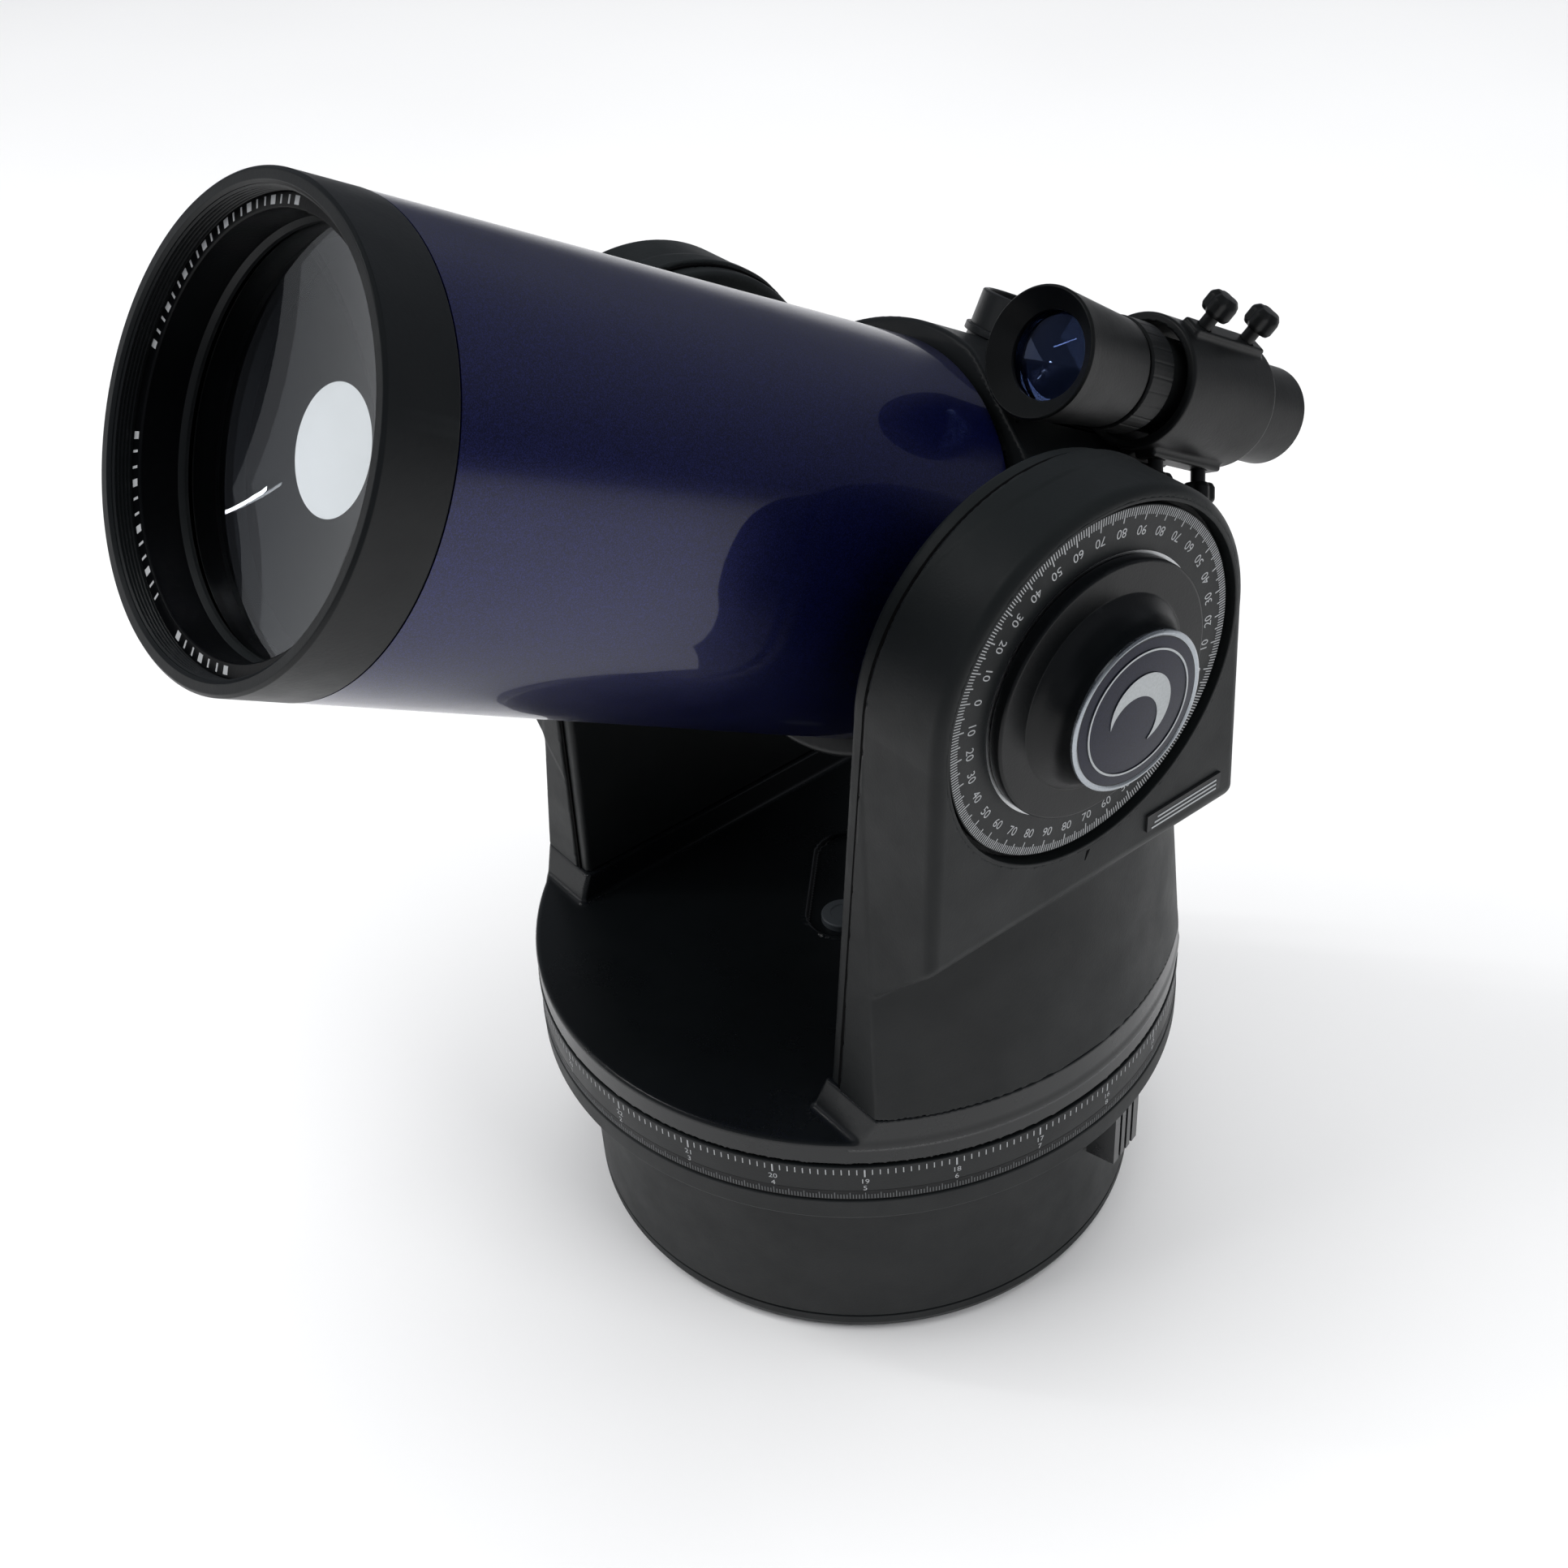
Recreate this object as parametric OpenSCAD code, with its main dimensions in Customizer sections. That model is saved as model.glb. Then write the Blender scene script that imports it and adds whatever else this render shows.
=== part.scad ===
// Small Maksutov-Cassegrain telescope on a motorised twin-arm fork mount.
// Millimetres, +Z up. Origin: centre of the foot circle, on the table.
// The tube points toward -Y, raised by rest_elevation. The numbered dial is on the +X arm.

/* [Base] */
// radius of the base drum
drum_r = 82.5; // [78:0.5:84]
// radius of the flange at the top of the drum
flange_r = 93.6; // [91:0.2:95]
// wall thickness of the drum
drum_wall = 3; // [2.5:0.5:4]
// bottom of the flange above the table
flange_z = 63; // [60:0.5:64]
// position of the lock lever round the base, degrees from +X
lever_angle = 15; // [10:1:25]
// position of the control panel round the base, degrees from +X
panel_angle = 180; // [172:1:184]
// radius of the two tripod threads
tripod_thread_r = 3.175; // [3.175:0.001:3.176]
// distance between the two tripod threads
tripod_spacing = 110; // [100:1:120]

/* [Turntable] */
// radius of the turntable
table_r = 93; // [92:0.2:94]
// height of the deck between the arms
deck_z = 92; // [90:0.5:94]
// height of the raised shoulders under the arms
shoulder_z = 100.2; // [98:0.2:102]
// radius of the azimuth spindle
spindle_r = 12; // [10:0.5:14]

/* [Fork] */
// height of the altitude axis
axis_h = 218; // [216:0.5:222]
// radius of the rounded arm tops
dome_r = 49; // [48:0.5:51]
// half width of an arm at its foot
foot_half = 55.5; // [54:0.5:57]
// radius that the lower part of an arm tapers to at its top
arm_top_r = 87; // [86:0.5:89]
// radius of the round pocket that a side disc sits in
pocket_r = 45.4; // [45:0.1:45.8]
// distance of the outer arm face from the middle
pod_x = 92; // [91:0.5:92.5]
// underside of the thick upper part of an arm
pod_z = 160.5; // [156:0.5:163]
// rounding of the outer arm edge
pod_round = 3; // [2:0.5:3.5]

/* [Tube] */
// elevation of the tube as stored, degrees
rest_elevation = 30.6; // [20:0.2:40]
// outer radius of the tube
tube_r = 52; // [51:0.25:52.5]
// front rim, measured from the altitude axis
front_l = 175.6; // [170:0.2:185]
// length of the black front cell
front_cell_len = 17.2; // [15:0.2:20]
// radius of the rear cell
rear_r = 56.6; // [55:0.1:57]
// rear face of the rear cell, behind the altitude axis
rear_len = 66; // [64:0.5:68]
// clear bore of the eyepiece holder, radius
eyepiece_bore_r = 15.925; // [15.9:0.005:15.95]

/* [Finder] */
// finder axis, sideways from the tube axis
finder_x = 36.9; // [36:0.1:38]
// finder axis, above the tube axis
finder_n = 61.6; // [61:0.1:63]
// front radius of the finder bell
bell_r = 16.05; // [15:0.05:16.2]
// outer radius of the finder bracket
bracket_r = 17; // [16.5:0.1:17.2]

/* [Hidden] */
$fn = 96;
eps = 0.01;
lean_inner = 3.23;
lean_seam = 3.6;
inner_x = 55.2;
seam_x = 59.7;
lean_z = 97.5;
side_lean = atan((foot_half - dome_r) / (axis_h - shoulder_z));
ring_z0 = 70.8;
ring_z1 = 84;
rim_z0 = 84.3;
top_plate_z0 = 66;
top_plate_z1 = 70.5;
lip_r = 88;
run = 0.05;
shaft_r = 14;
disc_x = 88;
cell_front_l = -8;
tube_rear_l = -4.4;
tube_front_l = front_l - front_cell_len;
lens_front_l = front_l - 19;
holder_l = -45;
holder_top_n = 68;
holder_screw_n = 63.5;
mirror_pivot_n = 14;
mirror_pivot_l = -59;
ear_x = 58.5;
ear_r = 24;
finder_flat = 53.8;
alt_drive_x = 75;
alt_drive_z = axis_h - 35.4;
focus_x = 24;
focus_n = 24;
foot_angle = 180 + atan(finder_x / finder_n);
screw_angles = [20, 152];
screw_rows = [-51, -70];
worm_mesh = 0.4;
screw_spots = [[-34, 122], [34, 122], [-32, 186], [32, 186]];
alt_wheel_r = 30;
alt_worm_r = 5;
az_wheel_r = 48;
az_worm_r = 4.6;

// ---- helpers ----

// ring between two radii and two heights
module ring(r_out, r_in, z0, z1) {
  translate([0, 0, z0]) difference() {
    cylinder(r = r_out, h = z1 - z0);
    translate([0, 0, -1]) cylinder(r = r_in, h = z1 - z0 + 2);
  }
}

// local frame of the tube: x sideways, y up out of the tube, z forward along it
module tube_frame() {
  translate([0, 0, axis_h]) rotate([90 - rest_elevation, 0, 0]) children();
}

// local frame of the finder, z forward along its axis
module finder_frame() {
  tube_frame() translate([finder_x, finder_n, 0]) children();
}

// points local +Y away from the finder axis at an angle from up toward +X
module finder_ray(a, l) {
  finder_frame() translate([0, 0, l]) rotate([0, 0, -a]) children();
}

// cylinder along X between two x values
module xcyl(r, x0, x1) {
  translate([x0, 0, 0]) rotate([0, 90, 0]) cylinder(r = r, h = x1 - x0);
}

// side profile of an arm in the YZ plane, rounded top of radius r
module arm_profile(r, half, z0) {
  translate([0, axis_h]) circle(r = r);
  polygon([[-half, z0], [half, z0], [r, axis_h], [-r, axis_h]]);
}

// the side profile as a slab between two x values
module arm_slab(r, half, z0, x0, x1) {
  translate([x0, 0, 0]) rotate([90, 0, 90]) linear_extrude(x1 - x0) arm_profile(r, half, z0);
}

// everything outboard of a leaning plane through x0 at the reference height
module outboard(x0, lean) {
  translate([x0, -150, lean_z]) rotate([0, lean, 0]) translate([0, 0, -150]) cube([200, 300, 400]);
}

// half plan of the thick part of an arm: y outward, x across, rounded outer corner
module pod_plan(half, x1, r) {
  translate([0, 50]) square([half, x1 - r - 50]);
  translate([0, 50]) square([half - r, x1 - 50]);
  translate([half - r, x1 - r]) circle(r = r);
}

// one straight side of the thick part, hanging from the altitude axis
module pod_side(half, x1, r, s) {
  translate([0, 0, axis_h]) rotate([s * side_lean, 0, 0]) mirror([0, s < 0 ? 1 : 0, 0])
    translate([0, 0, -130]) linear_extrude(130) rotate([0, 0, 90]) mirror([0, 1, 0]) pod_plan(half, x1, r);
}

// thick rounded upper part of an arm; its underside slants inward and down from x1 at z0
module pod_solid(half, x1, r, z0) {
  intersection() {
    union() {
      intersection() {
        translate([0, 0, axis_h]) rotate([0, 90, 0]) rotate_extrude() pod_plan(half, x1, r);
        translate([0, -100, axis_h - 1]) cube([120, 200, 100]);
      }
      pod_side(half, x1, r, 1);
      pod_side(half, x1, r, -1);
      translate([50, -20, 90]) cube([x1 - 50, 40, axis_h - 90]);
    }
    translate([x1, 0, z0]) rotate([0, -45, 0]) translate([-200, -100, 0]) cube([400, 200, 300]);
  }
}

// conical lower part of an arm; inset_r and inset_side leave room for a wall
module arm_leg(inset_r, inset_side, z0, z1) {
  intersection() {
    translate([0, 0, z0]) cylinder(r1 = table_r - inset_r, r2 = arm_top_r - inset_r, h = z1 - z0);
    arm_slab(dome_r - inset_side, foot_half - inset_side, z0, 50, 95);
  }
}

// outer shell of an arm on the +X side
module arm_shell() {
  difference() {
    difference() {
      difference() {
        union() {
          intersection() {
            pod_solid(dome_r, pod_x, pod_round, pod_z);
            outboard(seam_x, lean_seam);
          }
          intersection() {
            arm_leg(0, 0, shoulder_z, pod_z + 4);
            outboard(seam_x, lean_seam);
          }
        }
        pod_solid(dome_r - 3, disc_x - 3.5, 2, pod_z + 3);
      }
      arm_leg(3, 4.5, shoulder_z - 1, pod_z + 4);
    }
    translate([0, 0, axis_h]) xcyl(shaft_r + run, 50, 100);
    translate([0, 0, axis_h]) xcyl(pocket_r, disc_x, 100);
  }
}

// inner cover of an arm on the +X side
module arm_cover() {
  difference() {
    intersection() {
      arm_slab(dome_r - 1.2, foot_half - 0.6, shoulder_z, 50, 80);
      outboard(inner_x, lean_inner);
    }
    outboard(seam_x, lean_seam);
    translate([0, 0, axis_h]) xcyl(shaft_r + run, 40, 100);
    for (p = screw_spots)
      translate([0, p[0], p[1]]) xcyl(2.1, 40, 90);
  }
}

// box set on a radius, measured outward along that radius
module radial_box(a, r0, r1, width, z0, z1) {
  rotate([0, 0, a]) translate([r0, -width / 2, z0]) cube([r1 - r0, width, z1 - z0]);
}

// ---- base ----

module base_drum() {
  color("#2e3134") difference() {
    union() {
      translate([0, 0, 1.5]) cylinder(r1 = drum_r - 1.5, r2 = drum_r, h = 3);
      translate([0, 0, 4.5]) cylinder(r = drum_r, h = flange_z - 4.5);
      translate([0, 0, flange_z - 1.5]) cylinder(r1 = drum_r, r2 = flange_r, h = 1.5 + eps);
      translate([0, 0, flange_z]) cylinder(r = flange_r, h = top_plate_z1 - flange_z);
      ring(lip_r - run, lip_r - 4, top_plate_z1 - eps, ring_z1 - 1);
    }
    translate([0, 0, -1]) cylinder(r = drum_r - drum_wall, h = flange_z - 1);
    translate([0, 0, flange_z - 2.5]) cylinder(r = drum_r - drum_wall, h = top_plate_z0 - flange_z + 2.5);
    translate([0, 0, 50]) cylinder(r = 22, h = 40);
    rotate([0, 0, lever_angle]) lever_slot();
    radial_box(panel_angle, 60, 90, 57, 12, 48);
  }
  color("#2e3134") panel_surround();
}

// slot in the drum wall for the lock lever
module lever_slot() {
  intersection() {
    ring(drum_r + 2, drum_r - drum_wall - 2, 48, 58);
    rotate([0, 0, -11.5]) cube([200, 200, 200]);
    rotate([0, 0, -78.5]) cube([200, 200, 200]);
  }
}

// frame that carries the control panel in the drum wall
module panel_surround() {
  difference() {
    intersection() {
      translate([0, 0, 8]) cylinder(r = drum_r, h = 44);
      radial_box(panel_angle, 70, 90, 63, 9, 51);
    }
    radial_box(panel_angle, 73.9, 95, 57, 12, 48);
    radial_box(panel_angle, 60, 95, 50, 15, 45);
  }
}

module base_cover() {
  color("#232527") difference() {
    translate([0, 0, 1.2]) cylinder(r = drum_r - drum_wall - 0.2, h = 4);
    for (s = [-1, 1]) translate([0, s * tripod_spacing / 2, -1]) cylinder(r = 6, h = 20);
    translate([-26, -34, 0]) cube([52, 68, 10]);
    for (a = [45:90:315]) rotate([0, 0, a]) translate([68, 0, 0]) cylinder(r = 6.1, h = 2.4);
  }
}

module rubber_feet() {
  color("#17181a") {
    for (a = [45:90:315]) rotate([0, 0, a]) translate([68, 0, 0]) cylinder(r1 = 5.4, r2 = 6, h = 2.3);
    cylinder(r1 = 7.4, r2 = 8, h = 2.3);
  }
}

module tripod_inserts() {
  color("#b08d4a") for (s = [-1, 1]) translate([0, s * tripod_spacing / 2, 0])
    ring(5.95, tripod_thread_r, 1.2, 13);
}

module battery_door() {
  color("#232527") difference() {
    translate([-25.8, -33.8, 1.2]) cube([51.6, 67.6, 3]);
    cylinder(r = 8.1, h = 2.4);
    for (k = [-2:2]) translate([-9, 22 + k * 2.4, 0.2]) cube([18, 1.2, 1.6]);
  }
}

module battery_tray() {
  color("#3a3d40") difference() {
    translate([-25, -33, 5.4]) cube([50, 66, 34]);
    for (x = [-16.2, 0, 16.2]) for (z = [14, 30]) translate([x, -31, z])
      rotate([-90, 0, 0]) cylinder(r = 7.3, h = 62);
  }
}

module control_panel() {
  color("#1d1f21") difference() {
    radial_box(panel_angle, 74, 76.5, 56.6, 12.2, 47.8);
    panel_at(-19, 38) cube([8.4, 14.4, 12], center = true);
    panel_at(-19, 22) rotate([90, 0, 0]) cylinder(r = 4.05, h = 30, center = true);
    for (x = [-2, 18]) panel_at(x, 24) cube([14.2, 14, 11.2], center = true);
    panel_at(8, 24 + 14) cube([16.2, 14, 8], center = true);
    panel_at(-6, 40) rotate([90, 0, 0]) cylinder(r = 1.55, h = 30, center = true);
  }
}

// frame on the panel face: x across, z up, y into the drum
module panel_at(x, z) {
  rotate([0, 0, panel_angle + 90]) translate([x, -76.5, z]) children();
}

module power_switch() {
  color("#151617") panel_at(-19, 38) translate([-4, -2.2, -1.6]) cube([8, 7, 5.6]);
}

module power_inlet() {
  color("#101112") panel_at(-19, 22) rotate([90, 0, 0]) difference() {
    translate([0, 0, -11]) cylinder(r = 4, h = 11.6);
    translate([0, 0, -9.4]) cylinder(r = 2.8, h = 12);
  }
}

module signal_ports() {
  color("#101112") {
    for (x = [-2, 18]) panel_at(x, 24) difference() {
      translate([-7, -0.4, -5.5]) cube([14, 12, 11]);
      translate([-5.8, -1, -4.3]) cube([11.6, 10, 8]);
    }
    panel_at(8, 38) difference() {
      translate([-8, -0.4, -3.9]) cube([16, 12, 7.8]);
      translate([-6.8, -1, -2.7]) cube([13.6, 10, 5.4]);
    }
  }
}

module power_lamp() {
  color("#b01818") panel_at(-6, 40) rotate([90, 0, 0]) translate([0, 0, -4]) cylinder(r = 1.5, h = 5);
}

module az_spindle() {
  color("#9a9da0") {
    ring(spindle_r, 8, 40, 96 - 9);
    ring(30, 8, 60.6, top_plate_z0);
  }
}

module az_motor() {
  color("#6f7275") {
    translate([-56.2, 14.4, 77.8]) rotate([-90, 0, 0]) cylinder(r = 6.4, h = 26);
    translate([-62, 18, top_plate_z1]) cube([11.6, 18, 3]);
  }
}

module az_worm() {
  color("#b08d4a") translate([-(az_wheel_r + az_worm_r + worm_mesh), 0, 76]) rotate([90, 0, 0])
    cylinder(r = az_worm_r, h = 26, center = true);
}

module az_lock_lever() {
  color("#1c1d1f") rotate([0, 0, lever_angle]) {
    ring(18, spindle_r + run, 50.4, 55.6);
    translate([17, -4.5, 50.4]) cube([drum_r - 14, 9, 5.2]);
    difference() {
      translate([drum_r, -6.5, 42]) cube([9, 13, 19]);
      for (k = [-1:1]) translate([drum_r + 8.3, k * 3.2 - 0.6, 41]) cube([2, 1.2, 21]);
      translate([0, 0, 40]) cylinder(r = drum_r + 0.5, h = 25);
    }
  }
}

module circuit_board() {
  color("#1f5c33") difference() {
    translate([-52, -30, 44]) cube([104, 60, 1.6]);
    cylinder(r = 16, h = 60);
  }
}

// ---- turntable and fork ----

module az_scale_ring() {
  color("#34373a") ring(93.3, lip_r, ring_z0, ring_z1);
}

module turntable() {
  color("#26282a") difference() {
    union() {
      translate([0, 0, rim_z0]) cylinder(r = table_r, h = deck_z - 1 - rim_z0);
      translate([0, 0, deck_z - 1]) cylinder(r1 = table_r, r2 = table_r - 1, h = 1);
      translate([0, 0, 67]) cylinder(r = 20, h = 18);
      shoulder();
      mirror([1, 0, 0]) shoulder();
    }
    translate([0, 0, 60]) cylinder(r = spindle_r + run, h = 27.5);
    ring(table_r - 3, 20, 70, deck_z - 5);
    deck_pocket();
  }
}

// shallow slanting pocket in the deck
module deck_pocket() {
  translate([-8, 4, deck_z - 1.5]) rotate([0, 0, -45]) {
    translate([-13, -10, 0]) cube([26, 20, 5]);
    for (s = [-1, 1]) translate([s * 13, 0, 0]) cylinder(r = 10, h = 5);
  }
}

module deck_plug() {
  color("#6e7276") translate([1.5, -5.5, deck_z - 1.5]) cylinder(r = 6, h = 2.4);
}

// raised shoulder that carries an arm
module shoulder() {
  intersection() {
    translate([0, 0, deck_z - 2]) cylinder(r = table_r, h = 20);
    translate([50, 0, 0]) rotate([90, 0, 90]) linear_extrude(50) polygon([
      [-60, deck_z - 1], [60, deck_z - 1], [foot_half, shoulder_z], [-foot_half, shoulder_z]]);
    outboard(inner_x - 1.5, 8);
  }
}

module az_worm_wheel() {
  color("#c2c0b8") ring(az_wheel_r, 20, 73, 79);
}

module arm_inner_right() {
  color("#2b2d30") arm_cover();
}

module arm_inner_left() {
  color("#2b2d30") mirror([1, 0, 0]) arm_cover();
}

module arm_outer_right() {
  color("#303336") arm_shell();
}

module arm_outer_left() {
  color("#303336") mirror([1, 0, 0]) arm_shell();
}

module arm_screws() {
  color("#8c8f92") for (m = [0, 1]) mirror([m, 0, 0])
    for (p = screw_spots)
      translate([0, p[0], p[1]]) arm_screw(inner_x + (p[1] - lean_z) * tan(lean_inner) + 0.8);
}

// pan-head screw sunk in the inner cover
module arm_screw(x0) {
  xcyl(1.9, x0, x0 + 3.6);
}

module name_plate() {
  color("#8f9295") translate([pod_x, 19, pod_z + 4.5]) cube([0.7, 26, 5]);
}

module alt_motor() {
  color("#6f7275") {
    translate([alt_drive_x, 11, alt_drive_z]) rotate([-90, 0, 0]) cylinder(r = 6.6, h = 30);
    translate([alt_drive_x - 7, 18, alt_drive_z - 10]) cube([16.4, 16, 3]);
  }
}

module alt_worm() {
  color("#b08d4a") translate([alt_drive_x, 0, alt_drive_z])
    rotate([90, 0, 0]) cylinder(r = alt_worm_r, h = 21, center = true);
}

// ---- tube ----

module rear_cell() {
  color("#202224") tube_frame() difference() {
    union() {
      cell_shell();
      for (m = [0, 1]) mirror([m, 0, 0]) cell_ear();
      intersection() {
        translate([0, 0, -rear_len + 2]) cylinder(r = rear_r - 3, h = 30);
        translate([42, mirror_pivot_n - 13, -rear_len + 2]) cube([20, 26, 18]);
      }
    }
    translate([0, 0, -80]) cylinder(r = 19, h = 30);
    translate([focus_x, focus_n, -80]) cylinder(r = 2.6, h = 30);
    translate([0, 0, holder_l]) rotate([-90, 0, 0]) cylinder(r = eyepiece_bore_r + 1.6, h = 80);
    rotate([0, 0, -atan(finder_x / finder_n)]) translate([-30, finder_flat, -90]) cube([60, 20, 100]);
    translate([46, mirror_pivot_n - 10.5, -80]) cube([20, 21, 31.5]);
    translate([30, mirror_pivot_n, mirror_pivot_l]) xcyl(2 + run, 0, 30);
  }
}

// hollow body of the rear cell with its spigot into the tube
module cell_shell() {
  difference() {
    union() {
      translate([0, 0, -rear_len]) cylinder(r1 = rear_r - 2.5, r2 = rear_r, h = 2.5);
      translate([0, 0, -rear_len + 2.5]) cylinder(r = rear_r, h = rear_len - 2.5 + cell_front_l - 2);
      translate([0, 0, cell_front_l - 2]) cylinder(r1 = rear_r, r2 = rear_r - 2, h = 2);
      ring(tube_r - 1.55, 46, cell_front_l - 1, 10);
    }
    translate([0, 0, -rear_len + 3.5]) cylinder(r = rear_r - 3.5, h = rear_len - 3.5 + cell_front_l - 3);
    translate([0, 0, -20]) cylinder(r = 49.4, h = 60);
  }
}

// side pad that carries a trunnion, hugging the tube
module cell_ear() {
  difference() {
    xcyl(ear_r, 44, ear_x);
    translate([0, 0, -40]) cylinder(r = rear_r - 3, h = 31);
    translate([0, 0, -20]) cylinder(r = tube_r + 0.05, h = 60);
  }
}

module optical_tube() {
  color("#1c1f6b") tube_frame() ring(tube_r, tube_r - 1.5, tube_rear_l, tube_front_l);
}

module front_cell() {
  color("#17181a") tube_frame() difference() {
    union() {
      translate([0, 0, tube_front_l]) cylinder(r = tube_r + 0.1, h = front_cell_len - 0.8);
      translate([0, 0, front_l - 0.8]) cylinder(r1 = tube_r + 0.1, r2 = tube_r - 0.7, h = 0.8);
      translate([0, 0, lens_front_l - 14]) cylinder(r = tube_r - 1.6, h = 18);
    }
    translate([0, 0, lens_front_l - 20]) cylinder(r = 44.6, h = 60);
    translate([0, 0, lens_front_l - 9]) cylinder(r = 46.3, h = 40);
    translate([0, 0, front_l - 11]) cylinder(r = 47.2, h = 20);
    translate([0, 0, front_l - 8.6]) cylinder(r = 48.6, h = 20);
  }
}

module retaining_ring() {
  color("#101112") tube_frame() {
    ring(47.15, 44.8, front_l - 11, front_l - 8.6);
    ring(46.2, 44.8, lens_front_l, front_l - 11 + eps);
  }
}

module meniscus() {
  color("#aebfd0") tube_frame() difference() {
    translate([0, 0, lens_front_l - 9]) cylinder(r = 46.2, h = 9);
    rotate_extrude() intersection() {
      translate([0, lens_front_l + 172]) circle(r = 178, $fn = 1200);
      translate([0, lens_front_l - 10]) square([60, 30]);
    }
  }
}

module secondary_spot() {
  color("#d8dadc") tube_frame() translate([0, 0, lens_front_l - 9.4]) cylinder(r = 14, h = 0.4);
}

module baffle_tube() {
  color("#0e0f10") tube_frame() {
    ring(14, 12.6, -24, 66);
    ring(19, 12.6, -27, -24 + eps);
    for (a = [30:120:270]) rotate([0, 0, a]) translate([18, -2.5, -27]) cube([29, 5, 2.6]);
  }
}

module trunnion_right() {
  color("#8d9093") translate([0, 0, axis_h]) difference() {
    union() {
      xcyl(shaft_r - 0.02, ear_x, disc_x + 0.5);
      xcyl(33.25, disc_x + 0.3, disc_x + 2.5);
      xcyl(6, disc_x + 2, disc_x + 12);
    }
    xcyl(9, 50, 70);
  }
}

module trunnion_left() {
  color("#8d9093") translate([0, 0, axis_h]) difference() {
    xcyl(shaft_r - 0.02, -disc_x - 1.5, -ear_x);
    xcyl(9, -70, -50);
  }
}

module alt_worm_wheel() {
  color("#c2c0b8") translate([0, 0, axis_h]) difference() {
    xcyl(alt_wheel_r, alt_drive_x - 2.5, alt_drive_x + 2.5);
    xcyl(shaft_r, 60, 80);
  }
}

module left_disc() {
  color("#2b2d30") translate([0, 0, axis_h]) difference() {
    mirror([1, 0, 0]) union() {
      xcyl(44.1, disc_x + 0.4, disc_x + 2.3);
      xcyl(32.5, disc_x + 2.2, disc_x + 5.5);
      knob_hub(disc_x + 5.4, 9);
    }
    xcyl(shaft_r, -disc_x - 1.5, -80);
  }
}

// flared hub of a side knob
module knob_hub(x0, h) {
  translate([x0, 0, 0]) rotate([0, 90, 0]) difference() {
    cylinder(r = 24, h = h);
    rotate_extrude() translate([27.2, 7.2]) circle(r = 7.2);
    rotate_extrude() translate([20, 7.2]) square([20, 20]);
  }
}

module dial_ring() {
  color("#2b2d30") translate([0, 0, axis_h]) difference() {
    xcyl(44.1, disc_x + 0.4, disc_x + 2.3);
    xcyl(33.3, 80, 100);
  }
}

module lock_knob() {
  color("#232527") translate([0, 0, axis_h]) difference() {
    union() {
      xcyl(32.5, disc_x + 2.8, disc_x + 6);
      knob_hub(disc_x + 5.9, 10);
      xcyl(20, disc_x + 15.8, disc_x + 16.2);
    }
    xcyl(6 + run, disc_x, disc_x + 12.3);
    xcyl(18.7, disc_x + 15.2, disc_x + 20);
  }
}

module knob_badge() {
  color("#20244f") translate([0, 0, axis_h]) xcyl(18.6, disc_x + 15.2, disc_x + 16.8);
}

module primary_mirror() {
  color("#cfd3d6") tube_frame() difference() {
    translate([0, 0, -10]) cylinder(r = 47.5, h = 11);
    translate([0, 0, -12]) cylinder(r = 18, h = 30);
    rotate_extrude() intersection() {
      translate([0, 600 - 1.8]) circle(r = 600, $fn = 2400);
      square([60, 30]);
    }
  }
}

module mirror_carrier() {
  color("#9a9da0") tube_frame() difference() {
    union() {
      ring(32, shaft_r + run, -14, -10);
      ring(17.9, shaft_r + run, -20, 3);
      translate([focus_x, focus_n, -19]) cylinder(r = 6, h = 9);
    }
    translate([focus_x, focus_n, -30]) cylinder(r = 2.5 + run, h = 40);
  }
}

module focus_knob() {
  color("#2b2d30") tube_frame() translate([focus_x, focus_n, 0]) {
    difference() {
      translate([0, 0, -rear_len - 15]) cylinder(r = 9, h = 14.6);
      for (a = [0:30:330]) rotate([0, 0, a]) translate([9.6, 0, -rear_len - 16]) cylinder(r = 1.3, h = 14);
    }
    translate([0, 0, -rear_len - 1]) cylinder(r = 2.5, h = rear_len - 13.3);
  }
}

module flip_mirror() {
  color("#cfd3d6") tube_frame() translate([0, mirror_pivot_n, mirror_pivot_l]) {
    xcyl(2, -17, 48);
    difference() {
      xcyl(8, 46.4, 53.4);
      translate([51, -9, 2.2]) cube([6, 18, 8]);
      translate([51, -9, -10.2]) cube([6, 18, 8]);
    }
    rotate([-45, 0, 0]) translate([-15, -31, -1.25]) cube([30, 31, 2.5]);
  }
}

module port_ring() {
  color("#8d9093") tube_frame() ring(21, 17, -rear_len - 6, -rear_len);
}

module port_cap() {
  color("#17181a") tube_frame() difference() {
    translate([0, 0, -rear_len - 9.5]) cylinder(r = 23.2, h = 9.2);
    translate([0, 0, -rear_len - 6.3]) cylinder(r = 21.06, h = 10);
    for (a = [0:20:340]) rotate([0, 0, a]) translate([23.9, 0, -rear_len - 10]) cylinder(r = 1.2, h = 8);
  }
}

module eyepiece_holder() {
  color("#8d9093") tube_frame() translate([0, 0, holder_l]) difference() {
    rotate([-90, 0, 0]) {
      translate([0, 0, 46]) cylinder(r = eyepiece_bore_r + 1.5, h = holder_top_n - 46);
      translate([0, 0, rear_r + 0.1]) cylinder(r = eyepiece_bore_r + 2.6, h = 2);
    }
    rotate([-90, 0, 0]) translate([0, 0, 40]) cylinder(r = eyepiece_bore_r - 2, h = 60);
    rotate([-90, 0, 0]) translate([0, 0, 48]) cylinder(r = eyepiece_bore_r, h = 60);
    translate([0, holder_screw_n, -30]) cylinder(r = 1.6, h = 30);
  }
}

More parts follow.
